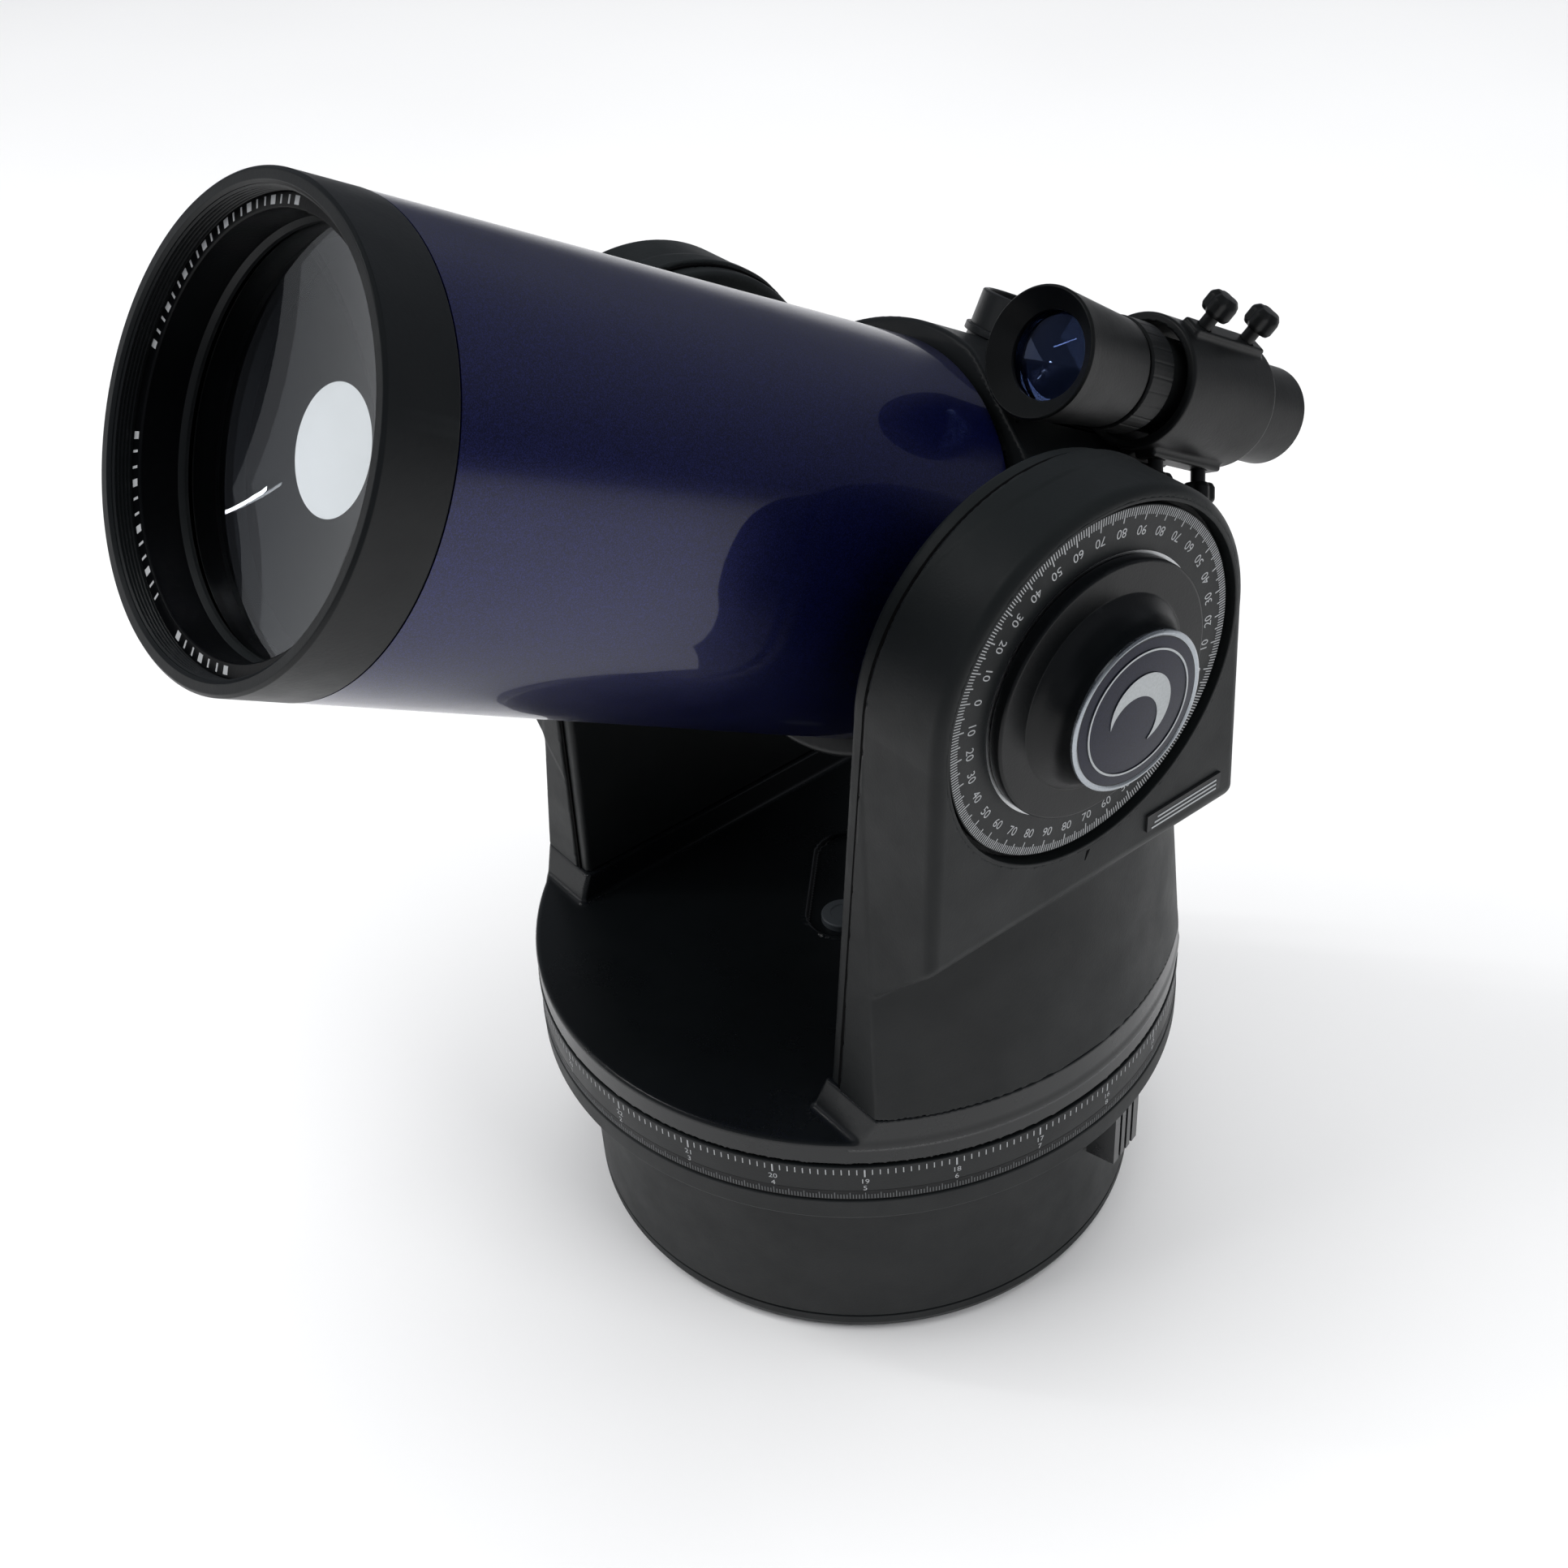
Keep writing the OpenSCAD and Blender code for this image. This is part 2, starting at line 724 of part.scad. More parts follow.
module holder_screw() {
  color("#c9ccce") tube_frame() translate([0, holder_screw_n, holder_l]) {
    translate([0, 0, -20]) cylinder(r = 1.5, h = 19.7 - eyepiece_bore_r);
    translate([0, 0, -26]) cylinder(r = 3.6, h = 6.6);
  }
}

// ---- finder ----

module finder_bracket() {
  color("#232527") difference() {
    union() {
      finder_frame() ring(bracket_r, 14.6, -79.5, -42.5);
      for (a = screw_angles) finder_ray(a, -61) translate([-3, bracket_r - 2.4, -15]) cube([6, 4.2, 30]);
      finder_ray(foot_angle, -59) translate([-9, 14.9, -12]) cube([18, 3.1, 18]);
      for (l = screw_rows) finder_ray(foot_angle, l) difference() {
        translate([-5, 11, -2]) cube([10, 5, 4]);
        translate([0, 0, -5]) cylinder(r = 12, h = 10);
      }
    }
    for (a = screw_angles) for (l = screw_rows)
      finder_ray(a, l) rotate([-90, 0, 0]) cylinder(r = 2.05, h = 30);
  }
}

module finder_body() {
  color("#1c1d1f") finder_frame() difference() {
    union() {
      translate([0, 0, -84]) cylinder(r = 12, h = 45);
      translate([0, 0, -101]) cylinder(r = 13, h = 17 + eps);
      translate([0, 0, -40]) cylinder(r = 9, h = 25);
    }
    translate([0, 0, -97]) cylinder(r = 7.6, h = 90);
    translate([0, 0, -102]) cylinder(r = 10, h = 3);
    translate([0, 0, -100]) cylinder(r = 6, h = 8);
  }
}

module finder_bell() {
  color("#1c1d1f") finder_frame() rotate_extrude() polygon([
    [9.05, -29], [13.6, -29], [bell_r, -2.5], [bell_r - 0.6, -2.2], [10.7, -6.4], [10.7, -7],
    [11.45, -7], [11.45, -13], [9.05, -13]]);
}

module finder_lens() {
  color("#8fa6c8") finder_frame() difference() {
    translate([0, 0, -12.5]) cylinder(r = 11.4, h = 5.4);
    ring(20, 9.6, -13, -11);
  }
}

module finder_lock_ring() {
  color("#17181a") finder_frame() difference() {
    ring(14, 9.05, -38.6, -29.3);
    for (a = [0:15:345]) rotate([0, 0, a]) translate([14.4, 0, -40]) cylinder(r = 0.8, h = 12);
  }
}

module finder_eye_lens() {
  color("#8fa6c8") finder_frame() translate([0, 0, -92]) cylinder(r = 7.5, h = 4);
}

module finder_screws() {
  color("#151617") for (a = screw_angles) for (l = screw_rows)
    finder_ray(a, l) rotate([-90, 0, 0]) {
      translate([0, 0, 12]) cylinder(r = 1.9, h = 11);
      difference() {
        translate([0, 0, 22.4]) cylinder(r = 3.9, h = 5.4);
        for (b = [0:72:288]) rotate([0, 0, b]) translate([4.6, 0, 21]) cylinder(r = 1.4, h = 8);
      }
    }
}

base_drum();
base_cover();
rubber_feet();
tripod_inserts();
battery_door();
battery_tray();
control_panel();
power_switch();
power_inlet();
signal_ports();
power_lamp();
az_spindle();
az_motor();
az_worm();
az_lock_lever();
circuit_board();
az_scale_ring();
turntable();
az_worm_wheel();
deck_plug();
arm_inner_right();
arm_inner_left();
arm_outer_right();
arm_outer_left();
arm_screws();
name_plate();
alt_motor();
alt_worm();
rear_cell();
optical_tube();
front_cell();
retaining_ring();
meniscus();
secondary_spot();
baffle_tube();
trunnion_right();
trunnion_left();
alt_worm_wheel();
left_disc();
dial_ring();
lock_knob();
knob_badge();
primary_mirror();
mirror_carrier();
focus_knob();
flip_mirror();
port_ring();
port_cap();
eyepiece_holder();
holder_screw();
finder_bracket();
finder_body();
finder_bell();
finder_lens();
finder_lock_ring();
finder_eye_lens();
finder_screws();
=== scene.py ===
import math

import bpy
import numpy as np
from mathutils import Matrix, Vector


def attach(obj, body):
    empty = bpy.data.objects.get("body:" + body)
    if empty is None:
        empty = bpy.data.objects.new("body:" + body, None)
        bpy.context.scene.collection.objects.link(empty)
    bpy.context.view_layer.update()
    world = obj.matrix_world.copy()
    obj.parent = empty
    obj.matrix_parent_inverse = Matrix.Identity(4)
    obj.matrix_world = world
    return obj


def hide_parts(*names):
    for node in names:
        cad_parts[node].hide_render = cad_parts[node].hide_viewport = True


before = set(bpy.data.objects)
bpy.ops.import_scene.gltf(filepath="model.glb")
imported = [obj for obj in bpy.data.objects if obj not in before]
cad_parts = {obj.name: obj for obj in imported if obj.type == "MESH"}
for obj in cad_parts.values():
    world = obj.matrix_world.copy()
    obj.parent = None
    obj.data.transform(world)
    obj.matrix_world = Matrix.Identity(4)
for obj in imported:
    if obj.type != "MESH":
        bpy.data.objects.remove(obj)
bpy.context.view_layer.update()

# ---------------------------------------------------------------- frames; lengths are in millimetres
MM = 0.001
AXIS_H = 218.0
REST_ELEVATION = 30.6
FINDER_X, FINDER_N = 36.9, 61.6
HOLDER_L, HOLDER_SCREW_N = -45.0, 63.5
WORLD = Matrix.Identity(4)
TUBE = Matrix.Translation((0, 0, AXIS_H * MM)) @ Matrix.Rotation(math.radians(90 - REST_ELEVATION), 4, "X")
FINDER = TUBE @ Matrix.Translation((FINDER_X * MM, FINDER_N * MM, 0))
RIGHT = Matrix.Translation((0, 0, AXIS_H * MM)) @ Matrix.Rotation(math.radians(90), 4, "Y")
LEFT = Matrix.Translation((0, 0, AXIS_H * MM)) @ Matrix.Rotation(math.radians(-90), 4, "Y")
HOLDER = TUBE @ Matrix.Translation((0, 0, HOLDER_L * MM)) @ Matrix.Rotation(math.radians(-90), 4, "X")


def finder_ray(angle, along):
    """Frame whose +Z points away from the finder's axis, at an angle from up toward +X."""
    return (FINDER @ Matrix.Translation((0, 0, along * MM)) @ Matrix.Rotation(math.radians(-angle), 4, "Z")
            @ Matrix.Rotation(math.radians(-90), 4, "X"))


# ---------------------------------------------------------------- materials
def new_material(name):
    """A material that is one principled shader, its node tree and that shader."""
    mat = bpy.data.materials.new(name)
    mat.use_nodes = True
    tree = mat.node_tree
    tree.nodes.clear()
    out = tree.nodes.new("ShaderNodeOutputMaterial")
    bsdf = tree.nodes.new("ShaderNodeBsdfPrincipled")
    tree.links.new(bsdf.outputs["BSDF"], out.inputs["Surface"])
    return mat, tree, bsdf


def noise(tree, scale, detail=3.0, rough=0.5, stretch=None):
    """Noise in the object's own coordinates; scale is in features per metre."""
    coord = tree.nodes.new("ShaderNodeTexCoord")
    tex = tree.nodes.new("ShaderNodeTexNoise")
    tex.inputs["Scale"].default_value = scale
    tex.inputs["Detail"].default_value = detail
    tex.inputs["Roughness"].default_value = rough
    if stretch:
        mapping = tree.nodes.new("ShaderNodeMapping")
        mapping.inputs["Scale"].default_value = stretch
        tree.links.new(coord.outputs["Object"], mapping.inputs["Vector"])
        tree.links.new(mapping.outputs["Vector"], tex.inputs["Vector"])
    else:
        tree.links.new(coord.outputs["Object"], tex.inputs["Vector"])
    return tex.outputs["Fac"]


def ramp(tree, source, low, high, stops):
    """Two colours, blended as the source goes from low to high."""
    node = tree.nodes.new("ShaderNodeValToRGB")
    node.color_ramp.elements[0].position = low
    node.color_ramp.elements[1].position = high
    node.color_ramp.elements[0].color = (*stops[0], 1)
    node.color_ramp.elements[1].color = (*stops[1], 1)
    tree.links.new(source, node.inputs["Fac"])
    return node.outputs["Color"]


def remap(tree, source, to_min, to_max, from_min=0.3, from_max=0.7):
    node = tree.nodes.new("ShaderNodeMapRange")
    node.inputs["From Min"].default_value = from_min
    node.inputs["From Max"].default_value = from_max
    node.inputs["To Min"].default_value = to_min
    node.inputs["To Max"].default_value = to_max
    tree.links.new(source, node.inputs["Value"])
    return node.outputs["Result"]


def bump(tree, source, strength, distance, below=None):
    node = tree.nodes.new("ShaderNodeBump")
    node.inputs["Strength"].default_value = strength
    node.inputs["Distance"].default_value = distance
    tree.links.new(source, node.inputs["Height"])
    if below is not None:
        tree.links.new(below, node.inputs["Normal"])
    return node.outputs["Normal"]


def worn_edges(tree, color, amount, lift):
    """Mixes a lighter tone in where the surface is convex."""
    geo = tree.nodes.new("ShaderNodeNewGeometry")
    mask = remap(tree, geo.outputs["Pointiness"], 0.0, amount, 0.52, 0.62)
    mix = tree.nodes.new("ShaderNodeMix")
    mix.data_type = "RGBA"
    tree.links.new(mask, mix.inputs["Factor"])
    tree.links.new(color, mix.inputs[6])
    mix.inputs[7].default_value = (*lift, 1)
    return mix.outputs[2]


def plastic(name, tone, rough, grain=1600.0, grain_depth=0.00006, spec=0.5, spread=0.06, coat=0.0,
            wear=0.35):
    """Moulded plastic: fine grain in the mould, faint cloudy tone, handling marks in its gloss."""
    mat, tree, bsdf = new_material(name)
    dark = tuple(c * 0.86 for c in tone)
    light = tuple(c * 1.16 for c in tone)
    color = ramp(tree, noise(tree, 24.0, 4.0), 0.3, 0.7, (dark, light))
    color = worn_edges(tree, color, wear, tuple(c * 2.1 + 0.004 for c in tone))
    tree.links.new(color, bsdf.inputs["Base Color"])
    gloss = remap(tree, noise(tree, 60.0, 5.0, 0.65), rough - spread, rough + spread)
    tree.links.new(gloss, bsdf.inputs["Roughness"])
    fine = bump(tree, noise(tree, grain, 2.0, 0.6), 0.55, grain_depth)
    tree.links.new(bump(tree, noise(tree, 300.0, 3.0), 0.12, 0.00012, fine), bsdf.inputs["Normal"])
    bsdf.inputs["Specular IOR Level"].default_value = spec
    bsdf.inputs["Coat Weight"].default_value = coat
    bsdf.inputs["Coat Roughness"].default_value = 0.22
    return mat


def metal(name, tone, rough, stretch=(1.0, 1.0, 14.0), scale=900.0, depth=0.00003):
    """Turned or brushed metal with fine directional lines."""
    mat, tree, bsdf = new_material(name)
    lines = noise(tree, scale, 3.0, 0.6, stretch)
    color = ramp(tree, lines, 0.25, 0.75, (tuple(c * 0.82 for c in tone), tone))
    tree.links.new(color, bsdf.inputs["Base Color"])
    gloss = remap(tree, noise(tree, 90.0, 4.0), rough - 0.05, rough + 0.08)
    tree.links.new(gloss, bsdf.inputs["Roughness"])
    tree.links.new(bump(tree, lines, 0.3, depth), bsdf.inputs["Normal"])
    bsdf.inputs["Metallic"].default_value = 1.0
    return mat


def metallic_paint(name, tone, flake, coat=0.9):
    """Deep clear-coated paint with fine metal flake and a faint ripple in the lacquer."""
    mat, tree, bsdf = new_material(name)
    coord = tree.nodes.new("ShaderNodeTexCoord")
    cells = tree.nodes.new("ShaderNodeTexVoronoi")
    cells.inputs["Scale"].default_value = 5200.0
    tree.links.new(coord.outputs["Object"], cells.inputs["Vector"])
    flakes = tree.nodes.new("ShaderNodeSeparateColor")
    tree.links.new(cells.outputs["Color"], flakes.inputs["Color"])
    color = ramp(tree, flakes.outputs["Red"], 0.35, 1.0, (tone, flake))
    tree.links.new(color, bsdf.inputs["Base Color"])
    tree.links.new(remap(tree, noise(tree, 40.0, 3.0), 0.3, 0.38), bsdf.inputs["Roughness"])
    tree.links.new(bump(tree, flakes.outputs["Green"], 0.12, 0.00004), bsdf.inputs["Normal"])
    tree.links.new(bump(tree, noise(tree, 110.0, 2.0), 0.035, 0.0004), bsdf.inputs["Coat Normal"])
    bsdf.inputs["Metallic"].default_value = 0.72
    bsdf.inputs["Coat Weight"].default_value = coat
    bsdf.inputs["Coat Roughness"].default_value = 0.035
    bsdf.inputs["Coat IOR"].default_value = 1.5
    return mat


def glass(name, tint, coating):
    """Clear optical glass; the coating's colour shows in its reflections."""
    mat, tree, bsdf = new_material(name)
    smudge = noise(tree, 35.0, 5.0, 0.7)
    tree.links.new(remap(tree, smudge, 0.0, 0.03, 0.5, 0.8), bsdf.inputs["Roughness"])
    color = ramp(tree, smudge, 0.3, 0.8, (tint, tuple(c * 0.97 for c in tint)))
    tree.links.new(color, bsdf.inputs["Base Color"])
    bsdf.inputs["Transmission Weight"].default_value = 1.0
    bsdf.inputs["IOR"].default_value = 1.5
    bsdf.inputs["Specular Tint"].default_value = (*coating, 1)
    return mat


def mirror_finish(name, tone, rough=0.03):
    """Mirror coating with a faint haze."""
    mat, tree, bsdf = new_material(name)
    haze = noise(tree, 45.0, 5.0, 0.6)
    tree.links.new(remap(tree, haze, rough, rough + 0.05), bsdf.inputs["Roughness"])
    color = ramp(tree, haze, 0.3, 0.8, (tuple(c * 0.95 for c in tone), tone))
    tree.links.new(color, bsdf.inputs["Base Color"])
    bsdf.inputs["Metallic"].default_value = 1.0
    return mat


FORK = plastic("fork_plastic", (0.0056, 0.0068, 0.0072), 0.50, spec=0.25)
DRUM = plastic("drum_plastic", (0.0062, 0.0074, 0.0078), 0.55, spec=0.31)
DECK = plastic("deck_plastic", (0.0034, 0.0042, 0.0048), 0.30, grain=1100.0, grain_depth=0.00003, spec=0.30,
               coat=0.16, wear=0.08)
SCALE = plastic("scale_plastic", (0.0050, 0.0060, 0.0065), 0.44, spec=0.28)
BAND = plastic("band_black", (0.003, 0.0032, 0.0036), 0.45, spec=0.2)
KNOB = plastic("knob_plastic", (0.0022, 0.0027, 0.0032), 0.34, spec=0.21, coat=0.06)
CELL = plastic("cell_black", (0.0042, 0.0050, 0.0056), 0.40, grain=900.0, spec=0.26)
FINDER_BLACK = plastic("finder_black", (0.0038, 0.0042, 0.0044), 0.42, grain=1300.0, spec=0.27)
FLAT_BLACK = plastic("flat_black", (0.0016, 0.0016, 0.0018), 0.8, grain=700.0, spec=0.06, wear=0.0)
RING_BLACK = plastic("ring_black", (0.0014, 0.0016, 0.002), 0.35, spec=0.13, wear=0.1)
PANEL = plastic("panel_black", (0.006, 0.0064, 0.007), 0.5, spec=0.4)
GREY = plastic("grey_plastic", (0.035, 0.040, 0.044), 0.42)
LEVER = plastic("lever_plastic", (0.0045, 0.005, 0.0056), 0.3, spec=0.45, coat=0.2)
NYLON = plastic("nylon", (0.42, 0.41, 0.37), 0.5, wear=0.0)
RUBBER = plastic("rubber", (0.006, 0.006, 0.006), 0.8, grain=900.0, grain_depth=0.00012, spec=0.3, wear=0.1)
PRINT = plastic("white_print", (0.40, 0.41, 0.42), 0.5, spread=0.1, wear=0.0)
FAINT = plastic("faint_print", (0.10, 0.105, 0.11), 0.5, spread=0.1, wear=0.0)
SILVER = metal("silver_rim", (0.40, 0.43, 0.46), 0.28, (1, 1, 1), 2000.0)
EMBLEM = metal("emblem_silver", (0.42, 0.44, 0.45), 0.36, (1, 1, 1), 1500.0)
STEEL = metal("steel", (0.50, 0.51, 0.52), 0.3)
ALUMINIUM = metal("aluminium", (0.52, 0.53, 0.54), 0.32)
BRASS = metal("brass", (0.55, 0.38, 0.15), 0.28)
PAINT = metallic_paint("blue_paint", (0.0018, 0.0031, 0.030), (0.011, 0.015, 0.105), 0.62)
BADGE = metallic_paint("badge_paint", (0.0022, 0.0030, 0.011), (0.006, 0.008, 0.026), 0.2)
LENS = glass("lens_glass", (0.93, 0.95, 0.96), (0.19, 0.22, 0.27))
BLUE_LENS = glass("coated_glass", (0.34, 0.40, 0.56), (0.30, 0.44, 0.9))
MIRROR = mirror_finish("mirror_coat", (0.86, 0.87, 0.88))
SPOT = mirror_finish("spot_coat", (0.82, 0.83, 0.84), 0.06)
BOARD = plastic("solder_mask", (0.010, 0.085, 0.030), 0.3, coat=0.4, wear=0.0)
LAMP = plastic("lamp_red", (0.42, 0.012, 0.010), 0.15, coat=0.6, wear=0.0)


# ---------------------------------------------------------------- making meshes
def add_piece(name, verts, faces, mat, body, nodes=(), slot=None, place=WORLD, sharp=32.0, normals=None,
              flat=False):
    """A mesh from points in millimetres in a local frame, riding on a CAD body."""
    mesh = bpy.data.meshes.new(name)
    m = np.array(place)
    pts = np.asarray(verts, float) * MM @ m[:3, :3].T + m[:3, 3]
    mesh.from_pydata(pts.tolist(), [], [list(map(int, f)) for f in faces])
    mesh.validate()
    mesh.materials.append(mat)
    mesh.polygons.foreach_set("use_smooth", [not flat] * len(mesh.polygons))
    if normals is not None:
        n = np.asarray(normals) @ m[:3, :3].T
        n /= np.linalg.norm(n, axis=1)[:, None] + 1e-12
        mesh.normals_split_custom_set_from_vertices(n.tolist())
    elif not flat:
        mesh.set_sharp_from_angle(angle=math.radians(sharp))
    mesh.update()
    obj = bpy.data.objects.new(name, mesh)
    bpy.context.scene.collection.objects.link(obj)
    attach(obj, body)
    if nodes:
        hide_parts(*nodes)
    return obj


def even_normals(obj):
    mod = obj.modifiers.new("even_normals", "WEIGHTED_NORMAL")
    mod.keep_sharp = True


def rounded(points, steps=5):
    """A closed outline of (radius, along[, fillet]) with its corners rounded."""
    out = []
    n = len(points)
    for i, p in enumerate(points):
        fillet = p[2] if len(p) > 2 else 0.0
        here = np.array(p[:2], float)
        if fillet <= 0:
            out.append(tuple(here))
            continue
        a = np.array(points[i - 1][:2], float) - here
        b = np.array(points[(i + 1) % n][:2], float) - here
        la, lb = np.linalg.norm(a), np.linalg.norm(b)
        a, b = a / la, b / lb
        half = math.acos(max(-1.0, min(1.0, float(a @ b)))) / 2
        cut = min(fillet / math.tan(half), 0.49 * la, 0.49 * lb)
        radius = cut * math.tan(half)
        middle = (a + b) / np.linalg.norm(a + b)
        centre = here + middle * (radius / math.sin(half))
        start, end = here + a * cut - centre, here + b * cut - centre
        t0, t1 = math.atan2(start[1], start[0]), math.atan2(end[1], end[0])
        sweep = (t1 - t0 + math.pi) % (2 * math.pi) - math.pi
        for k in range(steps + 1):
            t = t0 + sweep * k / steps
            out.append((centre[0] + radius * math.cos(t), centre[1] + radius * math.sin(t)))
    return out


def lathe(name, points, mat, body, place=WORLD, seg=144, shape=None, **more):
    """A closed outline turned round the local Z axis. shape(angle, radius, along) may change the radius."""
    outline = rounded(points)
    area = sum(a[0] * b[1] - b[0] * a[1] for a, b in zip(outline, outline[1:] + outline[:1]))
    if area < 0:
        outline = outline[::-1]
    verts, rings = [], []
    for r, z in outline:
        if r < 1e-6:
            rings.append([len(verts)] * seg)
            verts.append((0, 0, z))
            continue
        rings.append(list(range(len(verts), len(verts) + seg)))
        for k in range(seg):
            t = 2 * math.pi * k / seg
            q = shape(t, r, z) if shape else r
            verts.append((q * math.cos(t), q * math.sin(t), z))
    faces = []
    for a, b in zip(rings, rings[1:] + rings[:1]):
        if a[0] == a[-1] and b[0] == b[-1]:
            continue
        for k in range(seg):
            j = (k + 1) % seg
            quad = [a[k], a[j], b[j], b[k]]
            face = [v for i, v in enumerate(quad) if v != quad[i - 1]]
            if len(face) > 2:
                faces.append(face)
    obj = add_piece(name, verts, faces, mat, body, place=place, **more)
    even_normals(obj)
    return obj


def smax(a, b, k):
    """Intersection of two solids, blended over a width k."""
    return np.maximum(a, b) + 0.25 * k * np.maximum(1 - np.abs(a - b) / k, 0) ** 2


def smin(a, b, k):
    """Union of two solids, blended over a width k."""
    return -smax(-a, -b, k)


def rmax(a, b, r):
    """Intersection of two solids with the edge between them rounded to radius r."""
    return np.minimum(np.maximum(a, b) + r, 0) + np.hypot(np.maximum(a + r, 0), np.maximum(b + r, 0)) - r


def surface_of(f, lo, hi, step):
    """Points, quads and normals of the surface f = 0 inside a box, f below 0 inside the solid."""
    axes = [np.arange(a, b + step, step) for a, b in zip(lo, hi)]
    value = f(*np.meshgrid(*axes, indexing="ij", sparse=True))
    value = np.broadcast_to(value, [len(a) for a in axes])
    solid = value < 0
    corners = [(i, j, k) for i in (0, 1) for j in (0, 1) for k in (0, 1)]
    size = [len(a) - 1 for a in axes]

    def corner(array, c):
        return array[c[0]:c[0] + size[0], c[1]:c[1] + size[1], c[2]:c[2] + size[2]]

    count = sum(corner(solid, c).astype(np.int8) for c in corners)
    active = (count > 0) & (count < 8)
    cells = np.argwhere(active)
    index = np.full(active.shape, -1, np.int64)
    index[active] = np.arange(len(cells))
    at = {c: corner(value, c)[active] for c in corners}
    total, hits = np.zeros((len(cells), 3)), np.zeros(len(cells))
    for a in corners:
        for axis in range(3):
            if a[axis]:
                continue
            b = tuple(1 if i == axis else a[i] for i in range(3))
            va, vb = at[a], at[b]
            cross = (va < 0) != (vb < 0)
            t = np.where(cross, va / np.where(cross, va - vb, 1), 0)
            p = np.tile(np.array(a, float), (len(cells), 1))
            p[:, axis] += t
            total += p * cross[:, None]
            hits += cross
    pts = (cells + total / hits[:, None]) * step + np.array([a[0] for a in axes])

    def slope(p, h=0.04):
        g = np.empty_like(p)
        for i in range(3):
            d = np.zeros(3)
            d[i] = h
            up, down = p + d, p - d
            g[:, i] = (f(up[:, 0], up[:, 1], up[:, 2]) - f(down[:, 0], down[:, 1], down[:, 2])) / (2 * h)
        return g

    for _ in range(3):
        g = slope(pts)
        move = f(pts[:, 0], pts[:, 1], pts[:, 2])[:, None] * g / (np.sum(g * g, 1)[:, None] + 1e-9)
        length = np.linalg.norm(move, axis=1)[:, None]
        pts = pts - move * np.minimum(1, 0.4 * step / (length + 1e-9))
    normals = slope(pts)
    faces = []
    for axis in range(3):
        o1, o2 = (axis + 1) % 3, (axis + 2) % 3
        low = [slice(None)] * 3
        high = [slice(None)] * 3
        low[axis], high[axis] = slice(None, -1), slice(1, None)
        for s in (low, high):
            s[o1], s[o2] = slice(1, -1), slice(1, -1)
        first, second = solid[tuple(low)], solid[tuple(high)]
        for outward, mask in ((True, first & ~second), (False, ~first & second)):
            e = np.argwhere(mask)
            if not len(e):
                continue
            e[:, o1] += 1
            e[:, o2] += 1
            quad = []
            for d1, d2 in ((1, 1), (0, 1), (0, 0), (1, 0)):
                q = e.copy()
                q[:, o1] -= d1
                q[:, o2] -= d2
                quad.append(index[q[:, 0], q[:, 1], q[:, 2]])
            quad = np.stack(quad if outward else quad[::-1], 1)
            faces.append(quad)
    return pts, np.concatenate(faces), normals


def moulded(name, f, lo, hi, step, mat, body, mirrored=False, **more):
    """The surface f = 0 as a piece, or its mirror image in X."""
    pts, faces, normals = surface_of(f, lo, hi, step)
    if mirrored:
        pts, normals = pts * (-1, 1, 1), normals * (-1, 1, 1)
        faces = faces[:, ::-1]
    return add_piece(name, pts, faces, mat, body, normals=normals, **more)


def strips(quads, mat, name, body, **more):
    """Many small raised marks in one mesh. Each is 8 corners: 4 on the surface and 4 above it."""
    verts, faces = [], []
    for q in quads:
        b = len(verts)
        verts += q
        faces += [(b + 3, b + 2, b + 1, b), (b + 4, b + 5, b + 6, b + 7)]
        faces += [(b + i, b + (i + 1) % 4, b + 4 + (i + 1) % 4, b + 4 + i) for i in range(4)]
    return add_piece(name, verts, faces, mat, body, flat=True, **more)


def digit_mesh(text, height):
    """Points and triangles of a line of digits, centred, in millimetres, in the XY plane."""
    curve = bpy.data.curves.new("digits", "FONT")
    curve.body = text
    curve.align_x = "CENTER"
    curve.align_y = "CENTER"
    curve.size = height / 0.70
    curve.resolution_u = 3
    obj = bpy.data.objects.new("digits", curve)
    bpy.context.scene.collection.objects.link(obj)
    bpy.context.view_layer.update()
    mesh = bpy.data.meshes.new_from_object(obj)
    verts = np.array([v.co for v in mesh.vertices], float).reshape(-1, 3)
    faces = [tuple(p.vertices) for p in mesh.polygons]
    bpy.data.objects.remove(obj)
    bpy.data.meshes.remove(mesh)
    bpy.data.curves.remove(curve)
    return verts, faces


def printed(name, items, mat, body, **more):
    """Digits laid on a surface: items are (text, height, function from flat (x, y) to a 3-D point)."""
    verts, faces = [], []
    for text, height, lay in items:
        v, f = digit_mesh(text, height)
        base = len(verts)
        verts += [lay(x, y) for x, y, _ in v]
        faces += [[base + i for i in q] for q in f]
    return add_piece(name, verts, faces, mat, body, flat=True, **more)


def cut_away(obj, *cutters, sharp=32.0):
    """Takes the cutters out of a piece for good."""
    for c in cutters:
        mod = obj.modifiers.new("cut", "BOOLEAN")
        mod.operation = "DIFFERENCE"
        mod.solver = "EXACT"
        mod.object = c
    graph = bpy.context.evaluated_depsgraph_get()
    mesh = bpy.data.meshes.new_from_object(obj.evaluated_get(graph))
    obj.modifiers.clear()
    obj.data = mesh
    mesh.polygons.foreach_set("use_smooth", [True] * len(mesh.polygons))
    mesh.set_sharp_from_angle(angle=math.radians(sharp))
    even_normals(obj)
    for c in cutters:
        bpy.data.objects.remove(c)


